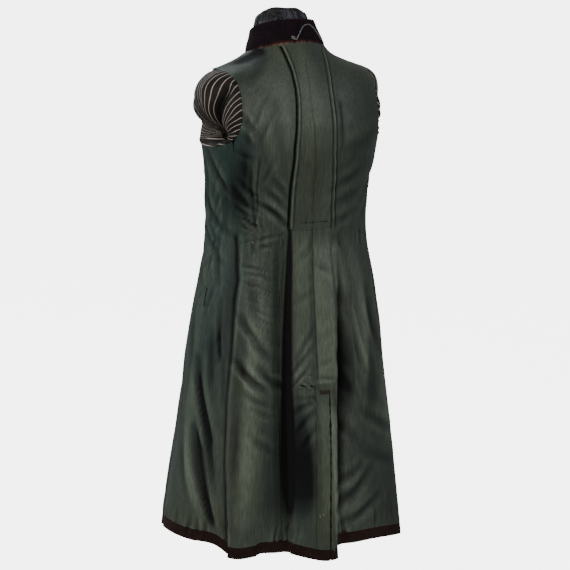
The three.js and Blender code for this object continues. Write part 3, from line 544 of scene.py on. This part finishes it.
def sew(node, levels, material):
    """A panel of cloth from its solid: creased and painted, and put in its solid's place."""
    piece = rounded_copy(node, levels)
    points = points_of(piece)
    angle, height = body_places(points)
    depth, tone = pressed(angle, height)
    points -= outward(points) * (depth * MM)[:, None]
    # At the left side seam the back skirt hangs lower than the side panel, with a step between.
    low = np.clip((HEM_STEP_TOP - height) / 70, 0, 1) * MM
    if node in ("back_side_skirt_left", "hem_back_left"):
        points[:, 2] -= HEM_DROP * low * np.clip((angle - 37) / 2, 0, 1)
    if node in ("side_left", "hem_side_left"):
        points[:, 2] += HEM_LIFT * low * np.clip((72 - angle) / 12, 0, 1)
    if node.startswith("hem"):
        # The band goes up under the lining, which is felled down over it.
        column = np.round(angle / 1.5).astype(int)
        top = {here: height[column == here].max() for here in set(column.tolist())}
        tucked = np.clip((height - [top[here] for here in column]) / 4 + 1, 0, 1)
        points += np.column_stack([np.zeros((len(points), 2)), tucked * 4 * MM])
        points -= outward(points) * (tucked * 1.1 * MM)[:, None]
    set_points(piece, points)
    # Painted shading: painted shade where it is plus, painted highlight where it is minus.
    tone += patches(angle, height, PATCHES["tone"])
    paint(piece, "dark", tone)
    paint(piece, "faded", -tone)
    for name in ("teal", "olive", "stain"):
        paint(piece, name, patches(angle, height, PATCHES[name]))
    finish(piece, node, material)


# ---- Satin lining ----
# Silk and cotton satin, woven with its warp on the face, so that it glints along the tops of folds.
# Dyed dark green, olive where it was worn, blue where not. Painted shade takes it to near black in
# the folds, and a painted highlight lightens the tops of folds and some broad patches.
satin, tree, shader = new_material("green_lining_satin")


def mottle(tree, size, detail, stretch=(1, 1, 1), span=(0.35, 0.65)):
    """Cloudy variation from 0 to 1, its lumps about size metres across."""
    place = add_node(tree, "ShaderNodeTexCoord", {}, {}).outputs["Object"]
    turned = add_node(tree, "ShaderNodeMapping", {}, {"Vector": place, "Scale": stretch}).outputs[0]
    clouds = add_node(tree, "ShaderNodeTexNoise", {}, {
        "Vector": turned, "Scale": 1 / size, "Detail": detail, "Roughness": 0.6}).outputs[0]
    return add_node(tree, "ShaderNodeMapRange", {}, {0: clouds, 1: span[0], 2: span[1]}).outputs[0]


def coats(tree, ground, *layers):
    """Colours laid one over another, each where a pattern or a painted patch of that name says."""
    for amount, colour in layers:
        if isinstance(amount, str):
            patch = add_node(tree, "ShaderNodeAttribute", {"attribute_name": amount}, {})
            amount = patch.outputs["Fac"]
        first, second = (linear(c) if isinstance(c, str) else c for c in (ground, colour))
        ground = add_node(tree, "ShaderNodeMix", {"data_type": 'RGBA'}, {
            0: amount, 6: first, 7: second}).outputs[2]
    return ground


slubs = mottle(tree, 0.003, 3, stretch=(1, 1, 0.06))
# The last two coats: a painted highlight on the tops of folds and lit patches, and painted shade in
# the folds.
dye_and_painted_shading = coats(tree, "#424a42", (mottle(tree, 0.16, 3), "#50594d"), ("teal", "#2d433c"),
            ("olive", "#505841"), ("stain", "#33261b"), ("faded", "#7e8a76"), ("dark", "#010304"))
# The warp slubs are drawn 3 mm wide, coarser than the real threads, so that they show at all.
streaked = add_node(tree, "ShaderNodeMix", {"data_type": 'RGBA', "blend_type": 'MULTIPLY'}, {
    0: 1.0, 6: dye_and_painted_shading, 7: coats(tree, "#d2d2d2", (slubs, "#ffffff"))})
# Down in the folds the cloth keeps its nap and doesn't shine; on top of them it is polished.
DULL = (3.5, 3.5, 3.5, 1)
gloss = add_node(tree, "ShaderNodeMapRange", {"clamp": False}, {
    0: coats(tree, mottle(tree, 0.03, 3), ("dark", DULL)), 3: 0.40, 4: 0.52})
relief = add_node(tree, "ShaderNodeBump", {}, {
    "Strength": 0.5, "Distance": 0.0022,
    "Height": mottle(tree, 0.022, 4, stretch=(1, 1, 0.45), span=(0.2, 0.8))})
grain = add_node(tree, "ShaderNodeBump", {}, {
    "Strength": 0.25, "Distance": 0.0003, "Height": slubs, "Normal": relief.outputs[0]})
set_inputs(tree, shader, {
    "Base Color": streaked.outputs[2], "Roughness": gloss.outputs[0], "Normal": grain.outputs[0],
    "Specular IOR Level": 0.33, "Sheen Weight": 0.06, "Sheen Roughness": 0.4,
    "Sheen Tint": linear("#aebcae")})

# ---- Brown wool ----
# Milled woollen cloth of the coat's outer side. It shows as the hem band, the front facings and the
# vent's edges. The nap breaks up the light, so it looks dull and faintly furry.
wool, tree, shader = new_material("brown_milled_wool")
nap = mottle(tree, 0.0035, 4)
brown = coats(tree, coats(tree, "#160d0a", (nap, "#281914")),
              (mottle(tree, 0.04, 3), coats(tree, "#1d120e", (nap, "#36241e"))))
fuzz = add_node(tree, "ShaderNodeBump", {}, {"Strength": 0.6, "Distance": 0.0006, "Height": nap})
set_inputs(tree, shader, {
    "Base Color": brown, "Normal": fuzz.outputs[0], "Roughness": 0.95, "Specular IOR Level": 0.2,
    "Sheen Weight": 0.12, "Sheen Roughness": 0.6, "Sheen Tint": linear("#8a7468")})

# ---- Centre back ----
# The back lining's middle: one panel to the waist, then two that part at the vent.
# Cut on the straight grain and gathered into the box pleats at its sides.
sew("back_centre_upper", 3, satin)
sew("back_centre_skirt_left", 3, satin)
sew("back_centre_skirt_right", 3, satin)

# ---- Vent strips ----
# Straight strips of the same satin, folded and felled along both edges of the vent, and between
# them the folded edge of the wool shell.
for side, width, area in (("left", 0.034, 0.0125), ("right", 0.020, 0.0065)):
    sew(f"vent_facing_{side}", 2, satin)


def places_on(pieces):
    """All the pieces' faces as one tree, to find points on the cloth."""
    corners, faces = [], []
    for piece in pieces:
        faces += [[len(corners) + i for i in face.vertices] for face in piece.data.polygons]
        corners += [point.co.copy() for point in piece.data.vertices]
    return BVHTree.FromPolygons(corners, faces)


def on_cloth(tree, angle, height, lift):
    """The point on the cloth's outside at an angle and height, lifted by mm, and its normal."""
    away = Vector((math.sin(math.radians(angle)), math.cos(math.radians(angle)), 0))
    middle = Vector((0, middle_at(height) * MM, height * MM))
    point, normal, _, _ = tree.ray_cast(middle + away * 0.6, -away, 0.6)
    return (point + normal * lift * MM, normal) if point else (None, None)


# Out of the slit peeps the brown edge of the wool, turned in between the strips: a band 20 mm wide
# down the whole vent, its middle pushed up between them.
VENT_TOP, VENT_FOOT, VENT_WIDTH = -758, -1133, 20
STRIP_REACH = 20
vent_strips = [bpy.data.objects[f"vent_facing_{side}_cloth"] for side in ("left", "right")]
strip_angles = [body_places(points_of(strip)) for strip in vent_strips]
bpy.ops.object.select_all(action='DESELECT')
bpy.ops.mesh.primitive_grid_add(x_subdivisions=6, y_subdivisions=40, size=1)
underlap = bpy.context.object
underlap.name = "vent_wool_edge"
points = points_of(underlap)
(left, left_height), (right, right_height) = strip_angles
for index, (across, up, _) in enumerate(points):
    height = VENT_FOOT + (up + 0.5) * (VENT_TOP - VENT_FOOT)
    beside = np.clip(height, left_height.min() + STRIP_REACH, left_height.max() - STRIP_REACH)
    at_left, at_right = (np.abs(z - beside) < STRIP_REACH for z in (left_height, right_height))
    slit = (left[at_left].min() + right[at_right].max()) / 2
    angle = math.radians(slit) + across * VENT_WIDTH / radius_at(height)
    middle = middle_at(height)
    near = points_of(vent_strips[0])[at_left]
    reach = np.hypot(near[:, 0], near[:, 1] - middle * MM).max() / MM
    reach -= 0.7 + 5.5 * min(abs(across) * 4, 1) ** 1.5
    points[index] = (math.sin(angle) * reach, middle + math.cos(angle) * reach, height)
    points[index] *= MM
set_points(underlap, points)
thickness = underlap.modifiers.new("cloth thickness", 'SOLIDIFY')
thickness.thickness = 0.0016
thickness.offset = 0
bpy.ops.object.modifier_apply(modifier=thickness.name)
underlap.data.materials.append(wool)
bpy.ops.object.shade_smooth_by_angle(angle=math.radians(50))
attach(underlap, "root")

# ---- Side backs ----
# From the shoulder seam and armhole down to the waist, then a wide skirt panel on each side,
# pulled into the box pleat beside the centre back.
sew("back_side_upper_left", 3, satin)
sew("back_side_upper_right", 3, satin)
for side, width, area in (("left", 0.172, 0.105), ("right", 0.212, 0.122)):
    sew(f"back_side_skirt_{side}", 3, satin)

# ---- Sides ----
# One panel from the armhole's foot to the hem, with a short satin facing over the sword slit.
sew("side_left", 3, satin)
sew("side_right", 3, satin)
sew("slit_facing_left", 2, satin)
sew("slit_facing_right", 2, satin)

# ---- Fronts ----
# Each front is lined in satin up to a straight wool facing along its edge. The wearer's left front
# laps over the right one.
sew("front_left", 2, satin)
sew("front_right", 2, satin)
sew("front_facing_left", 2, wool)
sew("front_facing_right", 2, wool)

# ---- Hem bands ----
# The wool shell's hem, turned up 25 mm and showing below the lining's foot. Each panel's band is
# pressed flat, and its raw edge goes up behind the lining.
HEM_BANDS = (
    # node, length of the cut, area
    ("hem_centre_left", 0.106, 0.0026), ("hem_centre_right", 0.026, 0.0006),
    ("hem_back_left", 0.170, 0.0042), ("hem_back_right", 0.230, 0.0057),
    ("hem_side_left", 0.386, 0.0096), ("hem_side_right", 0.392, 0.0098),
    ("hem_front_left", 0.250, 0.0062), ("hem_front_right", 0.248, 0.0061),
)
for node, length, area in HEM_BANDS:
    sew(node, 3, wool)

# ---- Sleeves ----
# Left in the body when the coat was turned, each sleeve puffs out at its armhole and dives inside.
# Its lining is brown cotton sateen with fine woven cream stripes, 14 mm apart at the armhole.
stripes, tree, shader = new_material("striped_sleeve_sateen")
run = add_node(tree, "ShaderNodeAttribute", {"attribute_name": "stripe"}, {}).outputs["Fac"]
saw = add_node(tree, "ShaderNodeMath", {"operation": 'FRACT'}, {0: run}).outputs[0]
middle = add_node(tree, "ShaderNodeMath", {"operation": 'SUBTRACT'}, {0: saw, 1: 0.5}).outputs[0]
away = add_node(tree, "ShaderNodeMath", {"operation": 'ABSOLUTE'}, {0: middle}).outputs[0]
line = add_node(tree, "ShaderNodeMapRange", {}, {
    0: away, 1: 0.035, 2: 0.085, 3: 1.0, 4: 0.0}).outputs[0]
cloth = coats(tree, "#1a120f", (mottle(tree, 0.003, 3), "#32251f"),
              (mottle(tree, 0.03, 2), "#15110c"), (line, "#c4bbad"), ("dark", "#020202"))
relief = add_node(tree, "ShaderNodeBump", {}, {
    "Strength": 0.4, "Distance": 0.001, "Height": mottle(tree, 0.010, 4, span=(0.2, 0.8))})
set_inputs(tree, shader, {
    "Base Color": cloth, "Normal": relief.outputs[0], "Roughness": 0.62,
    "Specular IOR Level": 0.25, "Sheen Weight": 0.05})

ARMHOLES = {
    # middle angle, half angle, throat angle
    "left": (90, 31.5, 78), "right": (93, 27, 81),
}
ARMHOLE_HEIGHT, ARMHOLE_HALF, ARMHOLE_ROUND = -138, 82, 2.8
ARMHOLE_RADIUS = 205
THROAT_HEIGHT = -197
STRIPE_GAP = 14
# The turns beyond which the sleeve's stripes run level, and the height that they run level down to.
LEVEL_TURN, LEVEL_FOOT = 98, -235
# Folds of the puff, spreading from the throat: turn from upright in degrees, positive toward the
# front; width in degrees; depth in mm, pressed in.
PUFF_CREASES = (
    (-21, 5.5, 15), (24, 9, 11), (-3, 14, -5), (48, 7, 8), (66, 8, 5), (-44, 6, 4), (-60, 6, 4),
    (-76, 6, 4), (92, 10, 5), (-98, 7, 3), (8, 3.5, 3),
    (-11, 3.5, 2.5), (37, 4, 3), (-33, 4, 2.5), (80, 5, 2.5), (150, 12, 4), (-140, 12, 4),
)


def puff_places(points, side):
    """Turn round the throat in degrees and distance from it in mm, on the body's side."""
    angle, height = body_places(points)
    across = np.radians(np.abs(angle) - ARMHOLES[side][2]) * ARMHOLE_RADIUS
    up = height - THROAT_HEIGHT
    return np.degrees(np.arctan2(across, up)), np.hypot(across, up)


def rim_lengths(side):
    """Distance round the armhole from its top, by turn round the throat; the front is plus."""
    middle, half, throat = ARMHOLES[side]
    round_it = np.radians(np.linspace(-180, 180, 721))
    power = 2 / ARMHOLE_ROUND
    across = np.sign(np.sin(round_it)) * np.abs(np.sin(round_it)) ** power * half
    up = np.sign(np.cos(round_it)) * np.abs(np.cos(round_it)) ** power * ARMHOLE_HALF
    x = np.radians(middle + across - throat) * ARMHOLE_RADIUS
    z = ARMHOLE_HEIGHT + up - THROAT_HEIGHT
    length = np.concatenate([[0], np.cumsum(np.hypot(np.diff(x), np.diff(z)))])
    turn = np.degrees(np.arctan2(x, z))
    order = np.argsort(turn)
    return turn[order], (length - length[len(length) // 2])[order]


def sew_sleeve(part, side):
    node = f"sleeve_{part}_{side}"
    piece = rounded_copy(node, 3)
    points = points_of(piece)
    turn, reach = puff_places(points, side)
    height = points[:, 2] / MM
    depth = np.zeros(len(points))
    for middle, wide, deep in PUFF_CREASES:
        off = (turn - middle + 180) % 360 - 180
        depth += deep * np.exp(-(off / wide) ** 2)
    near = np.clip((reach - 8) / 26, 0, 1)
    rim = np.clip((np.abs(points[:, 0]) / MM - 168) / 20, 0, 1)
    turns, lengths = rim_lengths(side)
    points -= outward(points) * (depth * near * rim * MM)[:, None]
    set_points(piece, points)
    along = np.interp(turn, turns, lengths) + 1.3 * np.sin(reach / 10 + turn / 9)
    level = (np.abs(turn) > LEVEL_TURN) & (height > LEVEL_FOOT)
    foot = np.interp(np.where(turn > 0, LEVEL_TURN, -LEVEL_TURN), turns, lengths)
    along = np.where(level, foot + np.sign(turn) * (THROAT_HEIGHT - height - 6), along)
    # Painted shade down the deepest fold, in the hollow in front of it, and in the throat.
    deepest = np.exp(-((turn + 21) / 7) ** 2) * np.clip((reach - 12) / 20, 0, 1)
    hollow = np.exp(-((turn - 42) / 17) ** 2) * np.clip((105 - reach) / 40, 0, 1)
    shade = deepest * np.clip((120 - reach) / 30, 0, 1) + 0.85 * hollow + np.exp(-(reach / 16) ** 2)
    paint(piece, "dark", shade)
    layer = piece.data.attributes.new("stripe", 'FLOAT', 'POINT')
    layer.data.foreach_set("value", (along / STRIPE_GAP + 40).astype(np.float32))
    finish(piece, node, stripes)


sew_sleeve("top", "left")
sew_sleeve("under", "left")
sew_sleeve("top", "right")
sew_sleeve("under", "right")

# ---- Seams ----
# The panels and sleeves are sewn edge to edge, and so are the hem's bands, so the hair's breadth
# that parts their solids closes here, and each seam is drawn in a little by its stitches.
SEAM_PINCH, SEAM_REACH = 0.7, 0.7
SEAM_REACHES = {
    # widest gap to close, in mm, where it is wider: the skirt's box pleats, the hem's step
    ("back_centre_skirt_left", "back_side_skirt_left"): 3.2,
    ("back_centre_skirt_right", "back_side_skirt_right"): 3.2,
    ("back_side_skirt_left", "side_left"): 2.2,
    ("hem_back_left", "hem_centre_left"): 3.2,
    ("hem_back_left", "hem_side_left"): 3.2,
    ("hem_back_right", "hem_centre_right"): 3.2,
    ("hem_back_right", "hem_side_right"): 3.2,
}


def tree_of(points):
    tree = KDTree(len(points))
    for i, spot in enumerate(points):
        tree.insert(spot, i)
    tree.balance()
    return tree


panels = sorted(piece.name for piece in bpy.data.objects if piece.name.endswith("_cloth")
                and not piece.name.startswith(("vent_", "slit_", "front_facing_")))
shapes = {name: points_of(bpy.data.objects[name]) for name in panels}
trees = {name: tree_of(shapes[name]) for name in panels}
sewn = {name: shapes[name].copy() for name in panels}
for first, second in itertools.combinations(panels, 2):
    if first.startswith("hem_") != second.startswith("hem_"):
        continue
    pair = first.replace("_cloth", ""), second.replace("_cloth", "")
    reach = SEAM_REACHES.get(pair, SEAM_REACH) * MM
    here, there = shapes[first], shapes[second]
    close = np.all((here > there.min(axis=0) - reach) & (here < there.max(axis=0) + reach), axis=1)
    for i in np.nonzero(close)[0]:
        spot, j, away = trees[second].find(here[i])
        if away < reach and trees[first].find(spot)[1] == i:
            middle = (here[i] + there[j]) / 2
            middle -= outward(middle[None])[0] * SEAM_PINCH * MM
            sewn[first][i] = sewn[second][j] = middle
for name in panels:
    set_points(bpy.data.objects[name], sewn[name])

# ---- Collar ----
# A stand collar of dark maroon cotton velvet over wool. Its seam to the lining is frayed, and along
# the top edge a painted sheen lightens the pile.
velvet, tree, shader = new_material("maroon_collar_velvet")
pile = mottle(tree, 0.006, 4)
plush = coats(tree, "#110810", (pile, "#26141c"), (mottle(tree, 0.022, 3), "#120e12"),
              ("rubbed", "#3b232a"), ("frayed", "#401d19"), ("bared", "#93806e"))
tufts = add_node(tree, "ShaderNodeBump", {}, {"Strength": 0.5, "Distance": 0.0008, "Height": pile})
set_inputs(tree, shader, {
    "Base Color": plush, "Normal": tufts.outputs[0], "Roughness": 0.9, "Specular IOR Level": 0.15,
    "Sheen Weight": 0.18, "Sheen Roughness": 0.35, "Sheen Tint": linear("#9a8084")})

collar = rounded_copy("collar", 3)
points = points_of(collar)
angle = np.degrees(np.arctan2(points[:, 0], points[:, 1] - 0.012))
height = points[:, 2] / MM
neck = np.interp(np.abs(angle), (0, 40, 70, 90, 120, 150, 180), (0, -5, -14, -20, -29, -41, -46))
top = np.interp(np.abs(angle), (0, 35, 65, 90, 120, 150, 180), (49, 48, 41, 31, 18, 6, 2))
rise = np.clip((height - neck) / (top - neck), 0, 1)
wave = 1.4 * np.sin(np.radians(angle * 3.1 + 40)) * rise
wave += 0.9 * np.sin(np.radians(angle * 7.3)) * rise ** 2
points -= outward(points) * (wave * MM)[:, None]
# The foot goes down inside the lining's neck edge.
tucked = np.clip(1 - rise / 0.12, 0, 1)
points -= outward(points) * (tucked * 1.2 * MM)[:, None]
points[:, 2] -= tucked * 4 * MM
set_points(collar, points)
draw = np.random.RandomState(12)
jag = (np.interp(angle, np.linspace(-180, 180, 61), draw.uniform(-1, 1, 61))
       + np.interp(angle, np.linspace(-180, 180, 201), draw.uniform(-1, 1, 201)))
worn = np.exp(-((angle - 14) / 56) ** 4)
frayed = (1 - (height - neck - 4) / (4.5 + 1.8 * jag)) * worn * np.clip(0.6 + 0.5 * jag, 0.1, 1)
paint(collar, "frayed", frayed)
bared = np.clip(1 - (height - neck - 1.5) / (2.6 + jag), 0, 1)
paint(collar, "bared", bared * worn * np.clip(0.45 + 0.3 * jag, 0, 1))
# Painted sheen along the collar's top edge, stronger toward the wearer's right.
rubbed = (rise - 0.9) * 8 * np.clip((10 - angle) / 50, 0.15, 1)
paint(collar, "rubbed", rubbed * np.clip(0.7 + 0.3 * jag, 0, 1))
finish(collar, "collar", velvet)

# ---- Neckband ----
# A high black silk neckband stands inside the collar, crumpled and tied close round the neck.
silk, tree, shader = new_material("black_neckband_silk")
# The grey-violet clouds on the black silk are painted sheen.
painted_sheen = mottle(tree, 0.020, 3, stretch=(1, 1, 0.6), span=(0.42, 0.6))
black = coats(tree, "#030304", (painted_sheen, "#4c4b57"), ("dark", "#000000"))
relief = add_node(tree, "ShaderNodeBump", {}, {
    "Strength": 1.0, "Distance": 0.004, "Height": mottle(tree, 0.012, 3, span=(0.3, 0.7))})
set_inputs(tree, shader, {
    "Base Color": black, "Normal": relief.outputs[0], "Roughness": 0.42,
    "Specular IOR Level": 0.45, "Sheen Weight": 0.06, "Sheen Tint": linear("#a9abb8")})

# Crumples of the neckband: angle, height, half width in degrees, half height and depth in mm.
CRUMPLES = (
    (95, 46, 3, 13, 4.5), (74, 54, 7, 9, 1.8), (60, 58, 4, 10, -1.6), (38, 60, 6, 10, -1.8),
    (22, 58, 4, 8, 2.2), (8, 62, 6, 9, -1.6), (-8, 58, 4, 10, 2.4), (-24, 62, 5, 9, -1.5),
    (-38, 58, 5, 8, 2.0), (48, 48, 9, 4, 1.4), (0, 50, 20, 3.5, 1.2), (130, 30, 7, 10, 2.0),
    (170, 26, 8, 9, 2.0), (-100, 46, 6, 9, 2.0), (-140, 32, 7, 9, 2.0),
)
neckband = rounded_copy("neckband", 3)
points = points_of(neckband)
angle = np.degrees(np.arctan2(points[:, 0], points[:, 1] - 0.010))
height = points[:, 2] / MM
depth = np.zeros(len(points))
for middle, z, wide, tall, deep in CRUMPLES:
    depth += deep * np.exp(-((angle - middle) / wide) ** 2 - ((height - z) / tall) ** 2)
points -= outward(points) * (depth * MM)[:, None]
# It stands a little higher on the wearer's left, and slopes off on the right.
risen = 4 * np.exp(-((angle - 74) / 34) ** 2)
risen -= 8 * np.clip((-angle - 38) / 30, 0, 1) * (angle > -120)
points[:, 2] += risen * MM * np.clip((height - 30) / 20, 0, 1)
bulge = 2.5 * np.exp(-((angle - 96) / 24) ** 2) * np.clip(height / 60, 0, 1)
points += outward(points) * (bulge * MM)[:, None]
set_points(neckband, points)
# Painted shade in the crumples' hollows, and a painted shadow down the gap on the wearer's left.
gap = 1.3 * np.exp(-((angle - 95) / 3) ** 2 - ((height - 42) / 13) ** 4)
paint(neckband, "dark", np.clip(depth / 3, 0, 0.8) + gap)
finish(neckband, "neckband", silk)

# ---- Hanger loop ----
# A loop of twisted grey cord, 3 mm thick, sewn flat to the collar's foot at both ends.
cord, tree, shader = new_material("twisted_hanger_cord")
place = add_node(tree, "ShaderNodeTexCoord", {}, {}).outputs["Object"]
twist = add_node(tree, "ShaderNodeTexWave", {"bands_direction": 'DIAGONAL'}, {
    "Vector": place, "Scale": 160.0, "Distortion": 1.5}).outputs["Fac"]
plies = add_node(tree, "ShaderNodeBump", {}, {"Strength": 0.8, "Distance": 0.0005, "Height": twist})
set_inputs(tree, shader, {
    "Base Color": coats(tree, "#3a3738", (twist, "#8f8b88")), "Normal": plies.outputs[0],
    "Roughness": 0.8})
hanger = rounded_copy("hanger_loop", 1)
finish(hanger, "hanger_loop", cord, sharp=60)

# ---- Buttons ----
# Five dark horn buttons down the under front, now inside the coat: turned with a raised rim and a
# dished middle, and drilled with four holes.
horn, tree, shader = new_material("dark_turned_horn")
streaks = mottle(tree, 0.006, 3, stretch=(1, 1, 0.2))
set_inputs(tree, shader, {
    "Base Color": coats(tree, "#120d0b", (streaks, "#3a2a20")), "Roughness": 0.32})
BUTTON_RADIUS, BUTTON_DEPTH, BUTTON_RIM = 0.011, 0.004, 0.0026
HOLE_RADIUS, HOLE_OFF = 0.00085, 0.0019
bpy.ops.object.select_all(action='DESELECT')
bpy.ops.mesh.primitive_cylinder_add(vertices=40, radius=BUTTON_RADIUS, depth=BUTTON_DEPTH)
button = bpy.context.object
for face in button.data.polygons:
    face.select = face.normal.z > 0.9
bpy.ops.object.mode_set(mode='EDIT')
bpy.ops.mesh.select_mode(type='FACE')
bpy.ops.mesh.inset(thickness=BUTTON_RIM)
bpy.ops.transform.translate(value=(0, 0, -0.0012))
bpy.ops.object.mode_set(mode='OBJECT')
rim = button.modifiers.new("rim", 'BEVEL')
rim.width = 0.0006
rim.segments = 3
bpy.ops.object.modifier_apply(modifier=rim.name)
for x, y in ((1, 1), (-1, 1), (1, -1), (-1, -1)):
    bpy.ops.mesh.primitive_cylinder_add(
        vertices=14, radius=HOLE_RADIUS, depth=0.01, location=(x * HOLE_OFF, y * HOLE_OFF, 0))
    drill = bpy.context.object
    bpy.context.view_layer.objects.active = button
    hole = button.modifiers.new("hole", 'BOOLEAN')
    hole.object = drill
    bpy.ops.object.modifier_apply(modifier=hole.name)
    bpy.data.objects.remove(drill)
turned = points_of(button)
for number in range(1, 6):
    node = f"button_{number}"
    solid = points_of(frame["nodes"][node])
    middle = (solid.min(axis=0) + solid.max(axis=0)) / 2
    axes = np.linalg.svd(solid - solid.mean(axis=0), full_matrices=False)[2]
    facing = axes[2] * np.sign(axes[2][1] or 1)
    across = np.cross((0, 0, 1), facing)
    across /= np.linalg.norm(across)
    piece = bpy.data.objects.new(f"{node}_horn", button.data.copy())
    bpy.context.scene.collection.objects.link(piece)
    set_points(piece, middle + turned @ np.array([across, np.cross(facing, across), facing]))
    bpy.ops.object.select_all(action='DESELECT')
    piece.select_set(True)
    bpy.context.view_layer.objects.active = piece
    finish(piece, node, horn, sharp=35)
bpy.data.objects.remove(button)

# ---- Hand sewing ----
# Silk thread, waxed, in short stitches: felling round the lining's foot, the waist tack, the
# piecing seam above the vent, the vent's edge, a brown bar tack, and a few stray white ends.
THREAD_COLOURS = {
    "cord": ("#3f483f", "#868f80"), "dark": ("#030403", "#0d110c"), "brown": ("#281d16", "#463a2e"),
    "pale": ("#8b8c7c", "#c6c5b4"), "olive": ("#4a4f3a", "#6a6f55"),
}
threads = {}
for name, (low, high) in THREAD_COLOURS.items():
    threads[name], tree, shader = new_material(f"{name}_silk_thread")
    set_inputs(tree, shader, {
        "Base Color": coats(tree, low, (mottle(tree, 0.0008, 2), high)), "Roughness": 0.5})

bpy.ops.object.select_all(action='DESELECT')
bpy.ops.mesh.primitive_uv_sphere_add(segments=8, ring_count=6, radius=0.5)
stitch = bpy.context.object
stitch_shape = points_of(stitch)
coat = places_on([piece for piece in bpy.data.objects if piece.name.endswith("_cloth")])


def sew_line(name, thread, ends, width):
    """One piece of stitches, each on the cloth between two places given as angle and height."""
    made = []
    for first, last in ends:
        (start, up), (stop, _) = on_cloth(coat, *first, 0.15), on_cloth(coat, *last, 0.15)
        if start is None or stop is None or (stop - start).length > 0.03:
            continue
        along = np.array(stop - start)
        length = np.linalg.norm(along)
        along = along / length
        side = np.cross(np.array(up), along)
        side /= np.linalg.norm(side)
        copy = bpy.data.objects.new(name, stitch.data.copy())
        bpy.context.scene.collection.objects.link(copy)
        sizes = np.array([length, width * MM, 0.8 * width * MM])
        set_points(copy, np.array((start + stop) / 2)
                   + (stitch_shape * sizes) @ np.array([along, side, np.cross(along, side)]))
        made.append(copy)
    bpy.ops.object.select_all(action='DESELECT')
    for copy in made:
        copy.select_set(True)
    bpy.context.view_layer.objects.active = made[0]
    bpy.ops.object.join()
    made[0].name = name
    made[0].data.materials.append(threads[thread])
    bpy.ops.object.shade_smooth()
    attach(made[0], "root")


def row_of(first, last, pitch, fill, lean=0):
    """Places of the stitches of a row: pitch in mm, fill the part of it that each covers."""
    radius = radius_at(first[1])
    run = math.hypot(math.radians(last[0] - first[0]) * radius, last[1] - first[1])
    count = max(int(run / pitch), 1)
    ends = []
    for i in range(count):
        ends.append([
            (first[0] + (last[0] - first[0]) * way, first[1] + (last[1] - first[1]) * way + drop)
            for way, drop in ((i / count, -lean), ((i + fill) / count, lean))])
    return ends


hem_angle, hem_height = body_places(np.vstack([
    points_of(piece) for piece in bpy.data.objects if piece.name.startswith("hem_")]))
felling = []
for angle in np.arange(-179, 180, 2.1):
    near = np.abs(hem_angle - angle) < 1.2
    if near.any():
        top = hem_height[near].max() - 2.5
        felling.append(((angle, top - 1.6), (angle + 0.7, top + 1.8)))
sew_line("hem_felling", "olive", felling, 0.7)
sew_line("waist_tack", "dark", row_of((13, -385), (-16, -386), 5, 0.75) + [
    ((1, -379), (1, -391)), ((8, -380), (8, -390)), ((-12, -383), (-12, -389)),
], 2.0)
sew_line("piecing_seam", "dark", row_of((21, -739), (0, -748), 5, 0.95)
         + row_of((20.5, -744), (0, -753), 5, 0.9), 1.3)
sew_line("vent_bar_tack", "brown", [
    ((angle, -752 + 0.4 * angle), (angle - 0.3, -765)) for angle in np.arange(-6.2, 0.6, 0.45)
], 1.2)
sew_line("vent_edge_stitching", "olive", row_of((4, -765), (4.6, -1105), 8, 0.3), 0.9)
sew_line("white_thread_ends", "pale", [
    ((4, -1030), (4, -1035)), ((2.2, -1028), (1.6, -1031)), ((-4, -1111), (-4.6, -1114)),
    ((53, -424), (52, -427)),
], 1.6)
# The hanger's end is turned back on itself and sewn flat to the collar.
sew_line("hanger_tab", "cord", [
    ((8.5, 6.5), (18, 9)), ((9, 9), (18.5, 11.5)), ((9.5, 11), (17.5, 13.5)),
], 3.0)
bpy.data.objects.remove(stitch)
